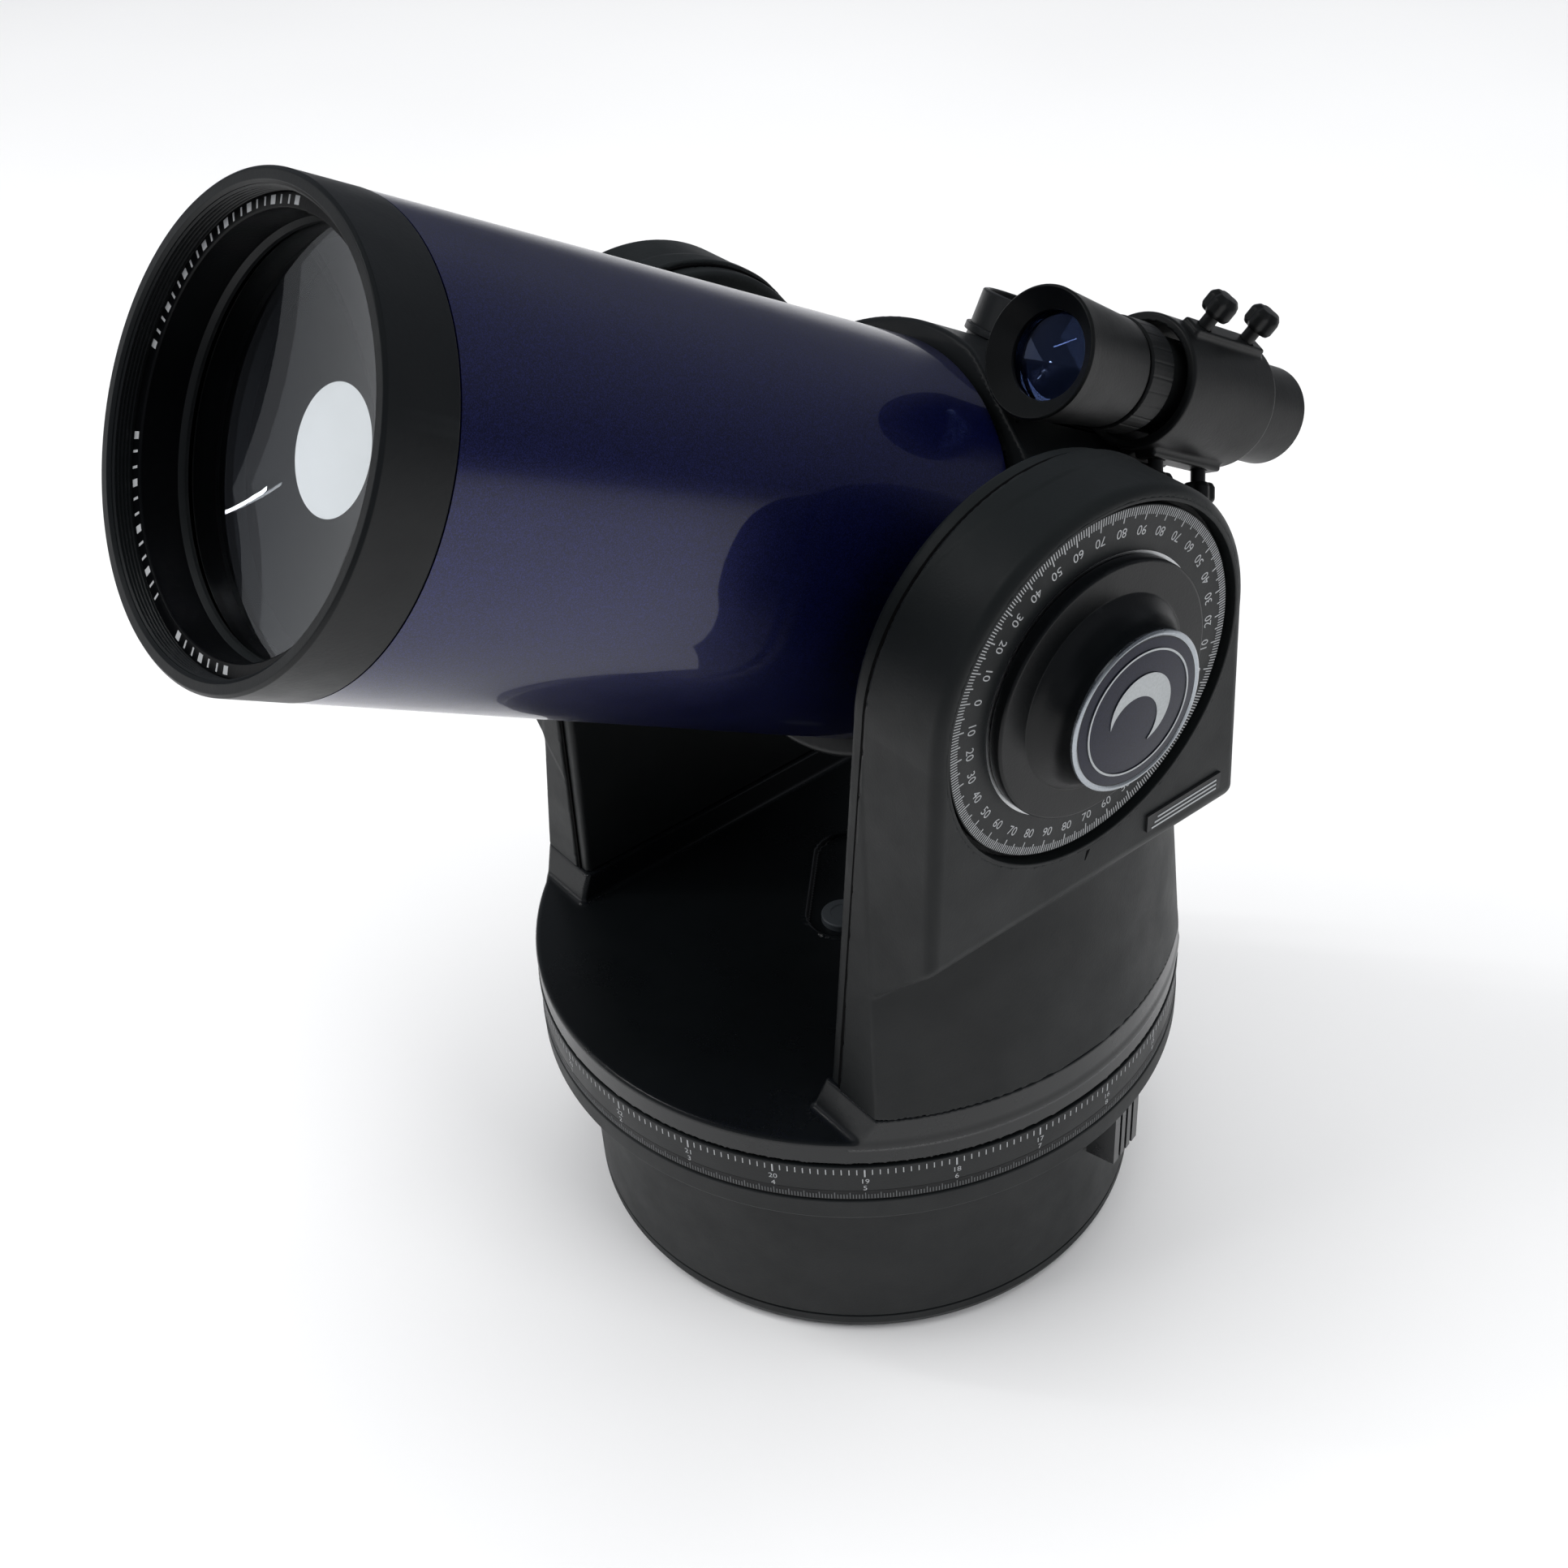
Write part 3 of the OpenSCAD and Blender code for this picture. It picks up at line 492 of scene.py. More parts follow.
def block(name, lo, hi, mat, body, place=WORLD, edge=0.0, **more):
    """A box between two corners, its edges rounded to a radius if one is given."""
    (x0, y0, z0), (x1, y1, z1) = lo, hi
    verts = [(x0, y0, z0), (x1, y0, z0), (x1, y1, z0), (x0, y1, z0),
             (x0, y0, z1), (x1, y0, z1), (x1, y1, z1), (x0, y1, z1)]
    faces = [(3, 2, 1, 0), (4, 5, 6, 7), (0, 1, 5, 4), (1, 2, 6, 5), (2, 3, 7, 6), (3, 0, 4, 7)]
    obj = add_piece(name, verts, faces, mat, body, place=place, **more)
    if edge:
        mod = obj.modifiers.new("edge", "BEVEL")
        mod.width = edge * MM
        mod.segments = 3
        mod.limit_method = "ANGLE"
    return obj


def spin(x, y, z, degrees):
    """Frame at a point in millimetres, turned about Z."""
    return Matrix.Translation((x * MM, y * MM, z * MM)) @ Matrix.Rotation(math.radians(degrees), 4, "Z")


# ---------------------------------------------------------------- base
DRUM_R, FLANGE_R = 82.5, 93.6
LEVER_ANGLE, PANEL_ANGLE = 15.0, 180.0
drum = lathe("drum", [
    (79.5, 1.5), (81.2, 1.5, 0.7), (DRUM_R, 4.4, 1.0), (DRUM_R, 7.0, 0.2), (DRUM_R - 0.4, 7.2, 0.1),
    (DRUM_R - 0.4, 7.6, 0.1), (DRUM_R, 7.8, 0.2), (DRUM_R, 60.2, 2.4), (FLANGE_R - 1.0, 62.6, 1.0),
    (FLANGE_R, 63.9, 0.8), (FLANGE_R, 70.5, 0.7), (87.95, 70.5), (87.95, 83), (84, 83), (84, 70.5),
    (22, 70.5), (22, 66), (79.5, 66)],
    DRUM, "base", nodes=["base_drum"], slot="base_plastic", seg=192)
lever_place, panel_place = spin(0, 0, 0, LEVER_ANGLE), spin(0, 0, 0, PANEL_ANGLE)
slot_cut = block("slot_cut", (74, -15.5, 48), (90, 15.5, 58), DRUM, "base", lever_place)
panel_cut = block("panel_cut", (60, -31.6, 8.9), (90, 31.6, 51.1), DRUM, "base", panel_place)
cut_away(drum, slot_cut, panel_cut)
surround = block("panel_surround", (70, -31.5, 9), (81.6, 31.5, 51), DRUM, "base", panel_place, edge=0.7,
                 slot="base_plastic")
surround_cut = block("surround_cut", (60, -25, 15), (95, 25, 45), DRUM, "base", panel_place)
seat_cut = block("seat_cut", (73.9, -28.5, 12), (95, 28.5, 48), DRUM, "base", panel_place)
cut_away(surround, surround_cut, seat_cut)

# ---------------------------------------------------------------- scale ring
RING_R, BAND_R = 93.3, 93.35
HOUR_STEP = 15
HOUR_ZERO = -38.9 + 19 * HOUR_STEP
lathe("scale_ring", [(88, 70.8), (93.0, 70.8, 0.3), (RING_R, 71.2), (RING_R, 83.4, 0.5), (88, 84, 0.3)],
      SCALE, "scale", nodes=["az_scale_ring"], slot="scale_plastic", seg=240)
lathe("scale_band", [(93.2, 70.9), (BAND_R, 71.0), (BAND_R, 74.3), (93.2, 74.4)], BAND, "scale",
      slot="scale_plastic", seg=240)


def ring_mark(angle, z0, z1, width, radius=RING_R + 0.02, lift=0.06):
    """An upright line on the ring, from height z0 to z1."""
    half = width / 2 / radius
    out = []
    for r in (radius, radius + lift):
        for a, z in ((-half, z0), (half, z0), (half, z1), (-half, z1)):
            t = math.radians(angle) + a
            out.append((r * math.cos(t), r * math.sin(t), z))
    return out


marks, fine_marks = [], []
for hour in range(24):
    start = HOUR_ZERO - HOUR_STEP * hour
    for k in range(12):
        low, width = (80.5, 0.26) if k else (79.7, 0.42)
        marks.append(ring_mark(start - k * 1.25, low, 82.4, width))
    for k in range(30):
        high = 72.9 if k % 5 else 73.6
        fine_marks.append(ring_mark(start - k * 0.5, 71.3, high, 0.22, BAND_R + 0.01))
strips(marks, PRINT, "scale_marks", "scale", slot="silver_paint")
strips(fine_marks, FAINT, "scale_fine_marks", "scale", slot="silver_paint")


def on_ring(angle, z):
    """Lays digits round the ring's edge."""
    radius = RING_R + 0.06
    return lambda x, y: (radius * math.cos(math.radians(angle) + x / RING_R),
                         radius * math.sin(math.radians(angle) + x / RING_R), z + y)


labels = []
for hour in range(24):
    start = HOUR_ZERO - HOUR_STEP * hour
    labels.append((str(hour), 1.75, on_ring(start, 77.9)))
    labels.append((str((24 - hour) % 24), 1.75, on_ring(start, 75.3)))
printed("scale_digits", labels, PRINT, "scale", slot="silver_paint")

# ---------------------------------------------------------------- turntable
TABLE_R, DECK_Z, SHOULDER_Z, FOOT_HALF, DOME_R = 93.0, 92.0, 100.2, 55.5, 49.0
LEAN_Z, INNER_X, SEAM_X = 97.5, 55.2, 59.7
TAN_INNER, TAN_SEAM = math.tan(math.radians(3.23)), math.tan(math.radians(3.6))
TAN_SIDE = (FOOT_HALF - DOME_R) / (AXIS_H - SHOULDER_Z)
COS_SIDE = math.cos(math.atan(TAN_SIDE))
TAN_SHOULDER = math.tan(math.radians(8))
POCKET_X, POCKET_Y, POCKET_TURN, POCKET_HALF, POCKET_R = -8, 4, math.pi / 4, 13, 10


def turntable_f(x, y, z):
    r = np.hypot(x, y)
    disc = np.maximum(rmax(r - TABLE_R, z - DECK_Z, 1.3), 84.3 - z)
    ax = np.abs(x)
    flank = (np.abs(y) - 60 + (z - 91) * 0.489) * 0.898
    inner = (INNER_X - 1.5 + (z - LEAN_Z) * TAN_SHOULDER - ax) * 0.99
    shoulder = rmax(rmax(rmax(flank, inner, 1.2), z - SHOULDER_Z, 0.5), r - TABLE_R, 0.6)
    shoulder = np.maximum(shoulder, 90.5 - z)
    body = smin(disc, shoulder, 1.6)
    c, s = math.cos(POCKET_TURN), math.sin(POCKET_TURN)
    u = (x - POCKET_X) * c - (y - POCKET_Y) * s
    v = (x - POCKET_X) * s + (y - POCKET_Y) * c
    pocket = np.hypot(np.maximum(np.abs(u) - POCKET_HALF, 0), v) - POCKET_R
    body = smax(body, -np.maximum(pocket, DECK_Z - 1.5 - z), 0.9)
    rim = rmax(np.abs(pocket - 0.7) - 0.55, z - DECK_Z - 0.35, 0.3)
    return smin(body, np.maximum(rim, 91 - z), 0.5)


moulded("turntable_deck", turntable_f, (-94, -94, 83.6), (94, 94, 101), 0.8, DECK, "fork",
        nodes=["turntable"], slot="deck_plastic")
lathe("turntable_hub", [(12.05, 67), (20, 67, 0.8), (20, 85), (12.05, 85)],
      DECK, "fork", slot="deck_plastic")
lathe("deck_plug_cap",
      [(0, 90.4), (6, 90.4), (6, 92.6, 0.6), (3.4, 92.9, 0.3), (3.1, 92.6, 0.2), (0, 92.6)],
      GREY, "fork", place=spin(1.5, -5.5, 0, 0), nodes=["deck_plug"], slot="grey_plastic", seg=72)


# ---------------------------------------------------------------- fork arms
def outline_f(y, z, r, foot):
    """An arm seen from the side: a round top on legs that spread to the foot's half width."""
    lean = (foot - r) / (AXIS_H - SHOULDER_Z)
    side = (np.abs(y) - r - (AXIS_H - z) * lean) * COS_SIDE
    return np.where(z > AXIS_H, np.hypot(y, z - AXIS_H) - r, side)


POD_X, POD_Z, ARM_TOP_R = 92.0, 160.5, 87.0
AXLE_HOLE_R, WELL_R, WELL_X = 14.05, 45.9, 87.6


def shell_f(x, y, z):
    side = outline_f(y, z, DOME_R, FOOT_HALF)
    pod = rmax(x - POD_X, side, 3.0)
    pod = rmax(pod, ((x - POD_X) - (z - POD_Z)) * 0.7071, 1.6)
    cone = np.hypot(x, y) - TABLE_R + (z - SHOULDER_Z) * (TABLE_R - ARM_TOP_R) / (POD_Z + 4 - SHOULDER_Z)
    leg = rmax(cone, side, 0.6)
    body = smin(pod, leg, 1.0)
    body = rmax(body, (SEAM_X + (z - LEAN_Z) * TAN_SEAM - x) * 0.998, 0.5)
    body = np.maximum(body, SHOULDER_Z - z)
    from_axis = np.hypot(y, z - AXIS_H)
    body = np.maximum(body, AXLE_HOLE_R - from_axis)
    return np.maximum(body, -np.maximum(from_axis - WELL_R, WELL_X - x))


def cover_f(x, y, z):
    side = outline_f(y, z, DOME_R - 1.2, FOOT_HALF - 0.9)
    body = rmax(side, (INNER_X + (z - LEAN_Z) * TAN_INNER - x) * 0.998, 1.4)
    body = np.maximum(body, (x - SEAM_X - (z - LEAN_Z) * TAN_SEAM + 0.05) * 0.998)
    body = np.maximum(body, SHOULDER_Z - z)
    return np.maximum(body, AXLE_HOLE_R - np.hypot(y, z - AXIS_H))


for side, mirrored in (("right", False), ("left", True)):
    moulded("arm_shell_" + side, shell_f, (55, -57, 99.6), (93, 57, 268), 0.85, FORK, "fork", mirrored,
            nodes=["arm_outer_" + side], slot="fork_plastic")
    moulded("arm_cover_" + side, cover_f, (53, -57, 99.6), (71, 57, 268), 0.9, FORK, "fork", mirrored,
            nodes=["arm_inner_" + side], slot="fork_plastic")
    lathe("disc_well_" + side, [(45.4, 87.5), (45.4, 91.9, 0.25), (45.7, 92.04, 0.1), (46.2, 92.04, 0.15),
                                (46.6, 91.8), (46.6, 87.5)],
          FORK, "fork", place=RIGHT if side == "right" else LEFT, slot="fork_plastic", seg=240)


def seam_line(name, sign):
    """A thin flat black strip in the joint where an arm's outer shell meets its inner cover: painted shade
    standing in for the shadow in the gap.
    """
    radius, foot = DOME_R - 0.9, FOOT_HALF - 0.7
    arc = [math.radians(t) for t in range(180, -1, -4)]
    path = [(-foot, SHOULDER_Z)]
    path += [(radius * math.cos(t), AXIS_H + radius * math.sin(t)) for t in arc]
    path += [(foot, SHOULDER_Z)]
    verts = []
    for y, z in path:
        out = Vector((y, max(z - AXIS_H, 0))).normalized()
        x = SEAM_X + (z - LEAN_Z) * TAN_SEAM
        for inward, lift in ((1.1, -0.6), (0.0, -0.6), (0.0, 0.3), (1.1, 0.3)):
            verts.append((sign * (x - inward), y + out.x * lift, z + out.y * lift))
    faces = [(4 * i + k, 4 * i + (k + 1) % 4, 4 * i + 4 + (k + 1) % 4, 4 * i + 4 + k)
             for i in range(len(path) - 1) for k in range(4)]
    faces += [(3, 2, 1, 0), tuple(len(verts) - 4 + k for k in range(4))]
    if sign > 0:
        faces = [f[::-1] for f in faces]
    add_piece(name, verts, faces, FLAT_BLACK, "fork", slot="fork_plastic")


# Painted shade: black strips along both arm joints stand in for the shadow inside the seam gap.
seam_line("arm_seam_shadow_right", 1)
seam_line("arm_seam_shadow_left", -1)
# Painted shade: the index notch below the dial is a flat black strip on the pod face, standing in for the
# shade inside the notch.
index_notch_shade = [(x, y, z) for x in (POD_X - 0.02, POD_X + 0.06)
               for y, z in ((-1.4, 170.6), (-0.3, 170.6), (-1.7, 167.9), (-2.0, 167.9))]
strips([index_notch_shade], FLAT_BLACK, "index_notch_shade", "fork", slot="fork_plastic")

# ---------------------------------------------------------------- dial, lock knob and badge
DIAL_X = 90.3
HUB_R, COVE_R = 20.0, 7.2
hub = [(HUB_R + COVE_R - math.sqrt(COVE_R ** 2 - (h - COVE_R) ** 2), 93.9 + h)
       for h in np.linspace(0.8, COVE_R, 10)]
lathe("dial_disc", [(33.3, 88.4), (44.1, 88.4, 0.3), (44.1, DIAL_X, 0.35), (33.3, DIAL_X)],
      SCALE, "dial", place=RIGHT, nodes=["dial_ring"], slot="scale_plastic", seg=240)


def dial_mark(q, r0, r1, width, lift=0.06):
    """A line on the dial at angle q, from radius r0 to r1."""
    out = []
    for level in (DIAL_X - 0.02, DIAL_X - 0.02 + lift):
        for r, s in ((r0, -1), (r1, -1), (r1, 1), (r0, 1)):
            t = math.radians(q)
            y, z = -r * math.cos(t), r * math.sin(t)
            out.append((level, y + s * width / 2 * math.sin(t), AXIS_H + z + s * width / 2 * math.cos(t)))
    return out


DIAL_ZERO = 20.5
dial_marks = []
for q in range(360):
    inner = 40.4 if q % 10 == 0 else 41.0 if q % 5 == 0 else 41.7
    dial_marks.append(dial_mark(DIAL_ZERO + q, inner, 43.7, 0.24 if q % 5 else 0.30))
strips(dial_marks, PRINT, "dial_marks", "dial", slot="silver_paint")


def on_dial(q, r):
    """Lays digits on the dial with their tops toward its centre."""
    t = math.radians(q)
    up = (math.cos(t), -math.sin(t))
    right = (-up[1], up[0])
    return lambda x, y: (DIAL_X + 0.06, -r * math.cos(t) + up[0] * y - right[0] * x,
                         AXIS_H + r * math.sin(t) + up[1] * y - right[1] * x)


DIGIT_R = 38.1
dial_digits = [(str(abs((q + 90) % 180 - 90)), 2.3, on_dial(DIAL_ZERO + q, DIGIT_R))
               for q in range(0, 360, 10)]
printed("dial_digits", dial_digits, PRINT, "dial", slot="silver_paint")

knob_rim = [(0, 90.8), (32.5, 90.8), (32.5, 94.0, 0.8)]
lathe("lock_knob_body", knob_rim + [(24.6, 94.0, 0.5)] + hub + [(HUB_R, 103.9, 0.3), (0, 103.9)],
      KNOB, "knob", place=RIGHT, nodes=["lock_knob"], slot="knob_plastic", seg=192)
lathe("badge_rim",
      [(18.6, 103.2), (20.05, 103.2), (20.05, 103.9, 0.3), (19.3, 104.25, 0.3), (18.6, 103.9, 0.2)],
      SILVER, "knob", place=RIGHT, slot="silver_paint", seg=192)
lathe("badge_disc", [(0, 103.2), (18.6, 103.2), (18.6, 103.9, 0.3), (14, 104.3), (8, 104.55), (0, 104.65)],
      BADGE, "knob", place=RIGHT, nodes=["knob_badge"], slot="badge", seg=192)
lathe("emblem_ring", [(15.4, 104.0), (15.4, 104.42), (15.9, 104.42), (15.9, 104.0)], EMBLEM, "knob",
      place=RIGHT, slot="silver_paint", seg=128)
MOON_R, BITE_R, BITE_X = 9.5, 7.55, 3.9
outer_turn = np.linspace(math.radians(50), math.radians(310), 60)
inner_turn = np.linspace(math.radians(285.5), math.radians(74.5), 60)
crescent = [(MOON_R * math.cos(t), MOON_R * math.sin(t)) for t in outer_turn]
crescent += [(BITE_X + BITE_R * math.cos(t), BITE_R * math.sin(t)) for t in inner_turn]
count = len(crescent)
flat = [(x, y, z) for z in (104.0, 104.74) for x, y in crescent]
sides = [(k, (k + 1) % count, count + (k + 1) % count, count + k) for k in range(count)]
caps = [(k, k + 1, count - 2 - k, count - 1 - k) for k in range(count // 2 - 1)]
caps = [c[::-1] for c in caps] + [tuple(count + v for v in c) for c in caps]
add_piece("emblem_crescent", flat, sides + caps, EMBLEM, "knob", slot="silver_paint", sharp=25.0,
          place=RIGHT @ Matrix.Rotation(math.radians(-35), 4, "Z") @ Matrix.Translation((-0.6 * MM, 0, 0)))

for i, z in enumerate((165.7, 167.0, 168.3)):
    block(f"plate_stripe_{i}", (92.65, 20.5 + i, z - 0.3), (92.8, 43.5, z + 0.3), EMBLEM, "fork",
          edge=0.06, slot="silver_paint")

lathe("left_side_disc",
      [(0, 88.4), (44.1, 88.4), (44.1, DIAL_X, 0.4), (32.5, DIAL_X), (32.5, 93.5, 0.8), (24.6, 93.5, 0.5)]
      + [(r, z - 0.5) for r, z in hub]
      + [(HUB_R, 102.4, 0.8), (15, 102.4, 0.4), (14.4, 101.9, 0.4), (0, 101.9)],
      KNOB, "tube", place=LEFT, nodes=["left_disc"], slot="knob_plastic", seg=192)

# ---------------------------------------------------------------- optical tube and its cells
TUBE_R, FRONT_L, TUBE_FRONT, LENS_FRONT = 52.0, 175.6, 158.4, 158.6
THREADS, THREAD_PITCH, MARKS_L = 8, 0.86, 170.3
lathe("tube_skin",
      [(50.5, -4.4), (TUBE_R, -4.4), (TUBE_R, TUBE_FRONT - 0.1), (50.5, TUBE_FRONT - 0.1)],
      PAINT, "tube", place=TUBE, nodes=["optical_tube"], slot="blue_paint", seg=256)
lathe("tube_lining", [(50.45, -4), (50.45, 142), (49.9, 142), (49.9, -4)], FLAT_BLACK, "tube", place=TUBE,
      slot="cell_plastic", seg=192)
threads = []
for k in range(THREADS):
    top = FRONT_L - k * THREAD_PITCH
    threads += [(48.65, top - 1.0), (48.2, top - 1.3), (48.2, top - 1.5), (48.65, top - 1.8)]
lathe("front_barrel",
      [(50.4, TUBE_FRONT), (51.7, TUBE_FRONT), (52.1, TUBE_FRONT + 0.4, 0.3), (52.1, FRONT_L - 0.7, 0.4),
       (51.4, FRONT_L, 0.5), (49.3, FRONT_L, 0.3), (48.65, FRONT_L - 0.7)] + threads
      + [(48.65, 167.0), (47.2, 167.0), (47.2, 164.6), (46.3, 164.6), (46.3, 149.6), (44.6, 149.6),
         (44.6, 142.6), (50.4, 142.6)],
      CELL, "tube", place=TUBE, nodes=["front_cell"], slot="cell_plastic", seg=256)
lathe("lens_retainer", [(46.2, 158.7), (46.2, 164.7), (47.15, 164.7), (47.15, 167.05), (48.15, 167.05),
                        (48.15, MARKS_L, 0.2), (45.1, MARKS_L, 0.2), (44.8, MARKS_L - 0.4, 0.2), (45.6, 161),
                        (45.6, 158.7)],
      RING_BLACK, "tube", place=TUBE, nodes=["retaining_ring"], slot="cell_plastic", seg=256)
lathe("lens_seat_ring", [(45.6, 158.8), (45.6, 160.7), (44.6, 159.6, 0.2), (44.5, 158.8)], SCALE, "tube",
      place=TUBE, slot="cell_metal", seg=192)

dashes = []
for start, count, step in ((100, 22, 3.6), (200, 12, 4.2), (262, 7, 4.2), (40, 9, 4.2)):
    for k in range(count):
        t = math.radians(start + k * step)
        half = math.radians(0.35 if k % 3 else 1.0)
        quad = []
        for l in (MARKS_L - 0.02, MARKS_L + 0.06):
            for r, a in ((45.7, -half), (47.5, -half), (47.5, half), (45.7, half)):
                quad.append((r * math.cos(t + a), r * math.sin(t + a), l))
        dashes.append(quad)
strips(dashes, PRINT, "retainer_marks", "tube", place=TUBE, slot="silver_paint")

LENS_R, FRONT_BOW_R, BACK_BOW_R, LENS_THICK = 46.0, 178, 172, 9.4


def front_bow(r):
    """The front face of the lens at a radius; both faces are hollow toward the front."""
    return LENS_FRONT + BACK_BOW_R - math.sqrt(FRONT_BOW_R ** 2 - r * r)


def back_bow(r):
    return LENS_FRONT - LENS_THICK + BACK_BOW_R - math.sqrt(BACK_BOW_R ** 2 - r * r)


radii = np.linspace(0, LENS_R, 24)
lathe("meniscus_lens",
      [(r, back_bow(r)) for r in radii]
      + [(LENS_R + 0.2, back_bow(LENS_R) + 0.4), (LENS_R + 0.2, front_bow(LENS_R) - 0.4)]
      + [(r, front_bow(r)) for r in radii[::-1]],
      LENS, "tube", place=TUBE, nodes=["meniscus"], slot="optical_glass", seg=192)
spot_radii = np.linspace(0, 14.2, 10)
lathe("spot_coating",
      [(r, back_bow(r) - 0.35) for r in spot_radii] + [(r, back_bow(r) - 0.06) for r in spot_radii[::-1]],
      SPOT, "tube", place=TUBE, nodes=["secondary_spot"], slot="mirror_coat", seg=128)

EAR_R, REAR_R = 24.0, 56.6
FOCUS_X = FOCUS_N = 24.0
MIRROR_BOW_R, MIRROR_FACE_L = 600.0, -1.8
foot_tilt = math.atan2(FINDER_X, FINDER_N)


def turned(x, n, angle):
    """How far points lie out along a direction round the tube, and how far across it."""
    c, s = math.cos(angle), math.sin(angle)
    return x * s + n * c, x * c - n * s


def rear_cell_f(x, n, l):
    r = np.hypot(x, n)
    ax = np.abs(x)
    shell = rmax(rmax(r - REAR_R, l + 8, 1.6), -66 - l, 2.4)
    inside = np.maximum(np.maximum(r - 53.1, l + 11), -62.5 - l)
    shell = np.maximum(shell, -inside)
    shell = np.maximum(shell, -np.maximum(r - 49.4, -20 - l))
    pad = np.maximum(np.maximum(r - 53.6, np.abs(n - 14) - 13), np.maximum(42 - x, np.abs(l + 55) - 9))
    shell = np.minimum(shell, pad)
    ear = rmax(np.hypot(n, l) - EAR_R, ax - 58.5, 1.4)
    ear = np.maximum(ear, 44 - ax)
    ear = np.maximum(ear, np.where(l > -20, 52.05 - r, -1.0))
    ear = np.maximum(ear, np.where(l < -9, 53.6 - r, -1.0))
    body = smin(shell, ear, 1.5)
    body = rmax(body, turned(x, n, foot_tilt)[0] - 53.8, 0.8)
    body = np.maximum(body, np.where(n > 0, 17.53 - np.hypot(x, l - HOLDER_L), -1.0))
    body = np.maximum(body, np.where(l < -50, 19 - r, -1.0))
    body = np.maximum(body, np.where(l < -50, 2.6 - np.hypot(x - FOCUS_X, n - FOCUS_N), -1.0))
    recess = rmax(np.maximum(46 - x, np.abs(n - 14) - 10.5), l + 48.5, 0.5)
    return np.maximum(body, -recess)


moulded("rear_cell_shell", rear_cell_f, (-60, -58, -67), (60, 58, 25), 0.9, CELL, "tube", place=TUBE,
        nodes=["rear_cell"], slot="cell_plastic")
mirror_radii = np.linspace(18, 47.5, 16)
mirror_face = [(r, MIRROR_FACE_L + MIRROR_BOW_R - math.sqrt(MIRROR_BOW_R ** 2 - r * r)) for r in mirror_radii]
lathe("main_mirror", [(18, -10), (47.5, -10)] + mirror_face[::-1],
      MIRROR, "mirror", place=TUBE, nodes=["primary_mirror"], slot="mirror_coat", seg=160)


# ---------------------------------------------------------------- rear fittings
def fluted(count, depth, above):
    """Narrow hollows along a grip, only where its radius is above a limit."""
    return lambda t, r, z: r - depth * max(0.0, math.cos(count * t)) ** 6 if r > above else r


lathe("port_thread_ring", [(17, -72), (21, -72, 0.5), (21, -66), (17, -66)], ALUMINIUM, "tube", place=TUBE,
      nodes=["port_ring"], slot="aluminium")
lathe("port_cover", [(0, -75.5), (22.2, -75.5, 0.5), (23.2, -74.6, 0.6), (23.2, -66.3, 0.5), (21.06, -66.3),
                     (21.06, -72.6), (0, -72.6)],
      CELL, "cap", place=TUBE, nodes=["port_cap"], slot="cell_plastic", seg=288, shape=fluted(18, 0.6, 22.5))
focus_place = TUBE @ Matrix.Translation((FOCUS_X * MM, FOCUS_N * MM, 0))
lathe("focus_grip",
      [(0, -81), (8.2, -81, 0.6), (9, -80.2, 0.6), (9, -66.9, 0.5), (2.5, -66.4), (2.5, -10), (0, -10)],
      KNOB, "focus", place=focus_place, nodes=["focus_knob"], slot="knob_plastic", seg=144,
      shape=fluted(12, 0.8, 8.5))
lathe("holder_barrel", [(13.925, 46), (17.425, 46), (17.425, 56.7), (18.5, 56.7, 0.3), (18.5, 58.7, 0.3),
                        (17.425, 58.7), (17.425, 67.6, 0.5), (16.4, 68, 0.2), (15.925, 67.6), (15.925, 48),
                        (13.925, 48)],
      CELL, "tube", place=HOLDER, nodes=["eyepiece_holder"], slot="cell_metal", seg=128)
holder_screw_place = (TUBE @ Matrix.Translation((0, HOLDER_SCREW_N * MM, HOLDER_L * MM))
                      @ Matrix.Rotation(math.pi, 4, "X"))
lathe("holder_thumb",
      [(0, 16.3), (1.5, 16.3), (1.5, 19.4), (3.4, 19.4, 0.3), (3.6, 19.8), (3.6, 25.6, 0.5), (0, 26)],
      SILVER, "holder_thumbscrew", place=holder_screw_place, nodes=["holder_screw"], slot="steel", seg=96,
      shape=fluted(24, 0.25, 3.5))

# ---------------------------------------------------------------- finder
BRACKET_R, BRACKET_L = 17.0, -61
SCREW_ANGLES, SCREW_ROWS, SCREW_LOBES = (20, 152), (-51, -70), 5
BOW_R = 10.6
lathe("finder_hood", [(9.05, -29), (13.4, -29, 0.5), (13.7, -28.2, 0.4), (15.7, -6.0, 1.5),
                      (16.05, -2.9, 0.5), (15.5, -2.2, 0.3), (10.8, -6.3), (10.7, -7), (11.45, -7),
                      (11.45, -13), (9.05, -13)],
      FINDER_BLACK, "finder_front", place=FINDER, nodes=["finder_bell"], slot="finder_plastic", seg=160)
lens_bow = [(r, -7.15 - 0.9 * (r / BOW_R) ** 2) for r in np.linspace(0, BOW_R, 10)]
lathe("finder_objective", [(0, -11.4), (11.3, -11.4), (11.3, -8.3)] + lens_bow[::-1],
      BLUE_LENS, "finder_front", place=FINDER, nodes=["finder_lens"], slot="coated_glass", seg=128)
lathe("finder_stop", [(0, -12.9), (11.3, -12.9), (11.3, -11.6), (9.2, -11.6), (0, -12.2)],
      FLAT_BLACK, "finder_front", place=FINDER, slot="finder_plastic", seg=96)
lathe("finder_lock_nut", [(9.05, -38.6), (13.6, -38.6, 0.5), (14, -38.0, 0.3), (14, -29.9, 0.3),
                          (13.6, -29.3, 0.4), (9.05, -29.3)],
      FINDER_BLACK, "finder_lock", place=FINDER, nodes=["finder_lock_ring"], slot="finder_plastic", seg=240,
      shape=fluted(72, 0.12, 13.5))
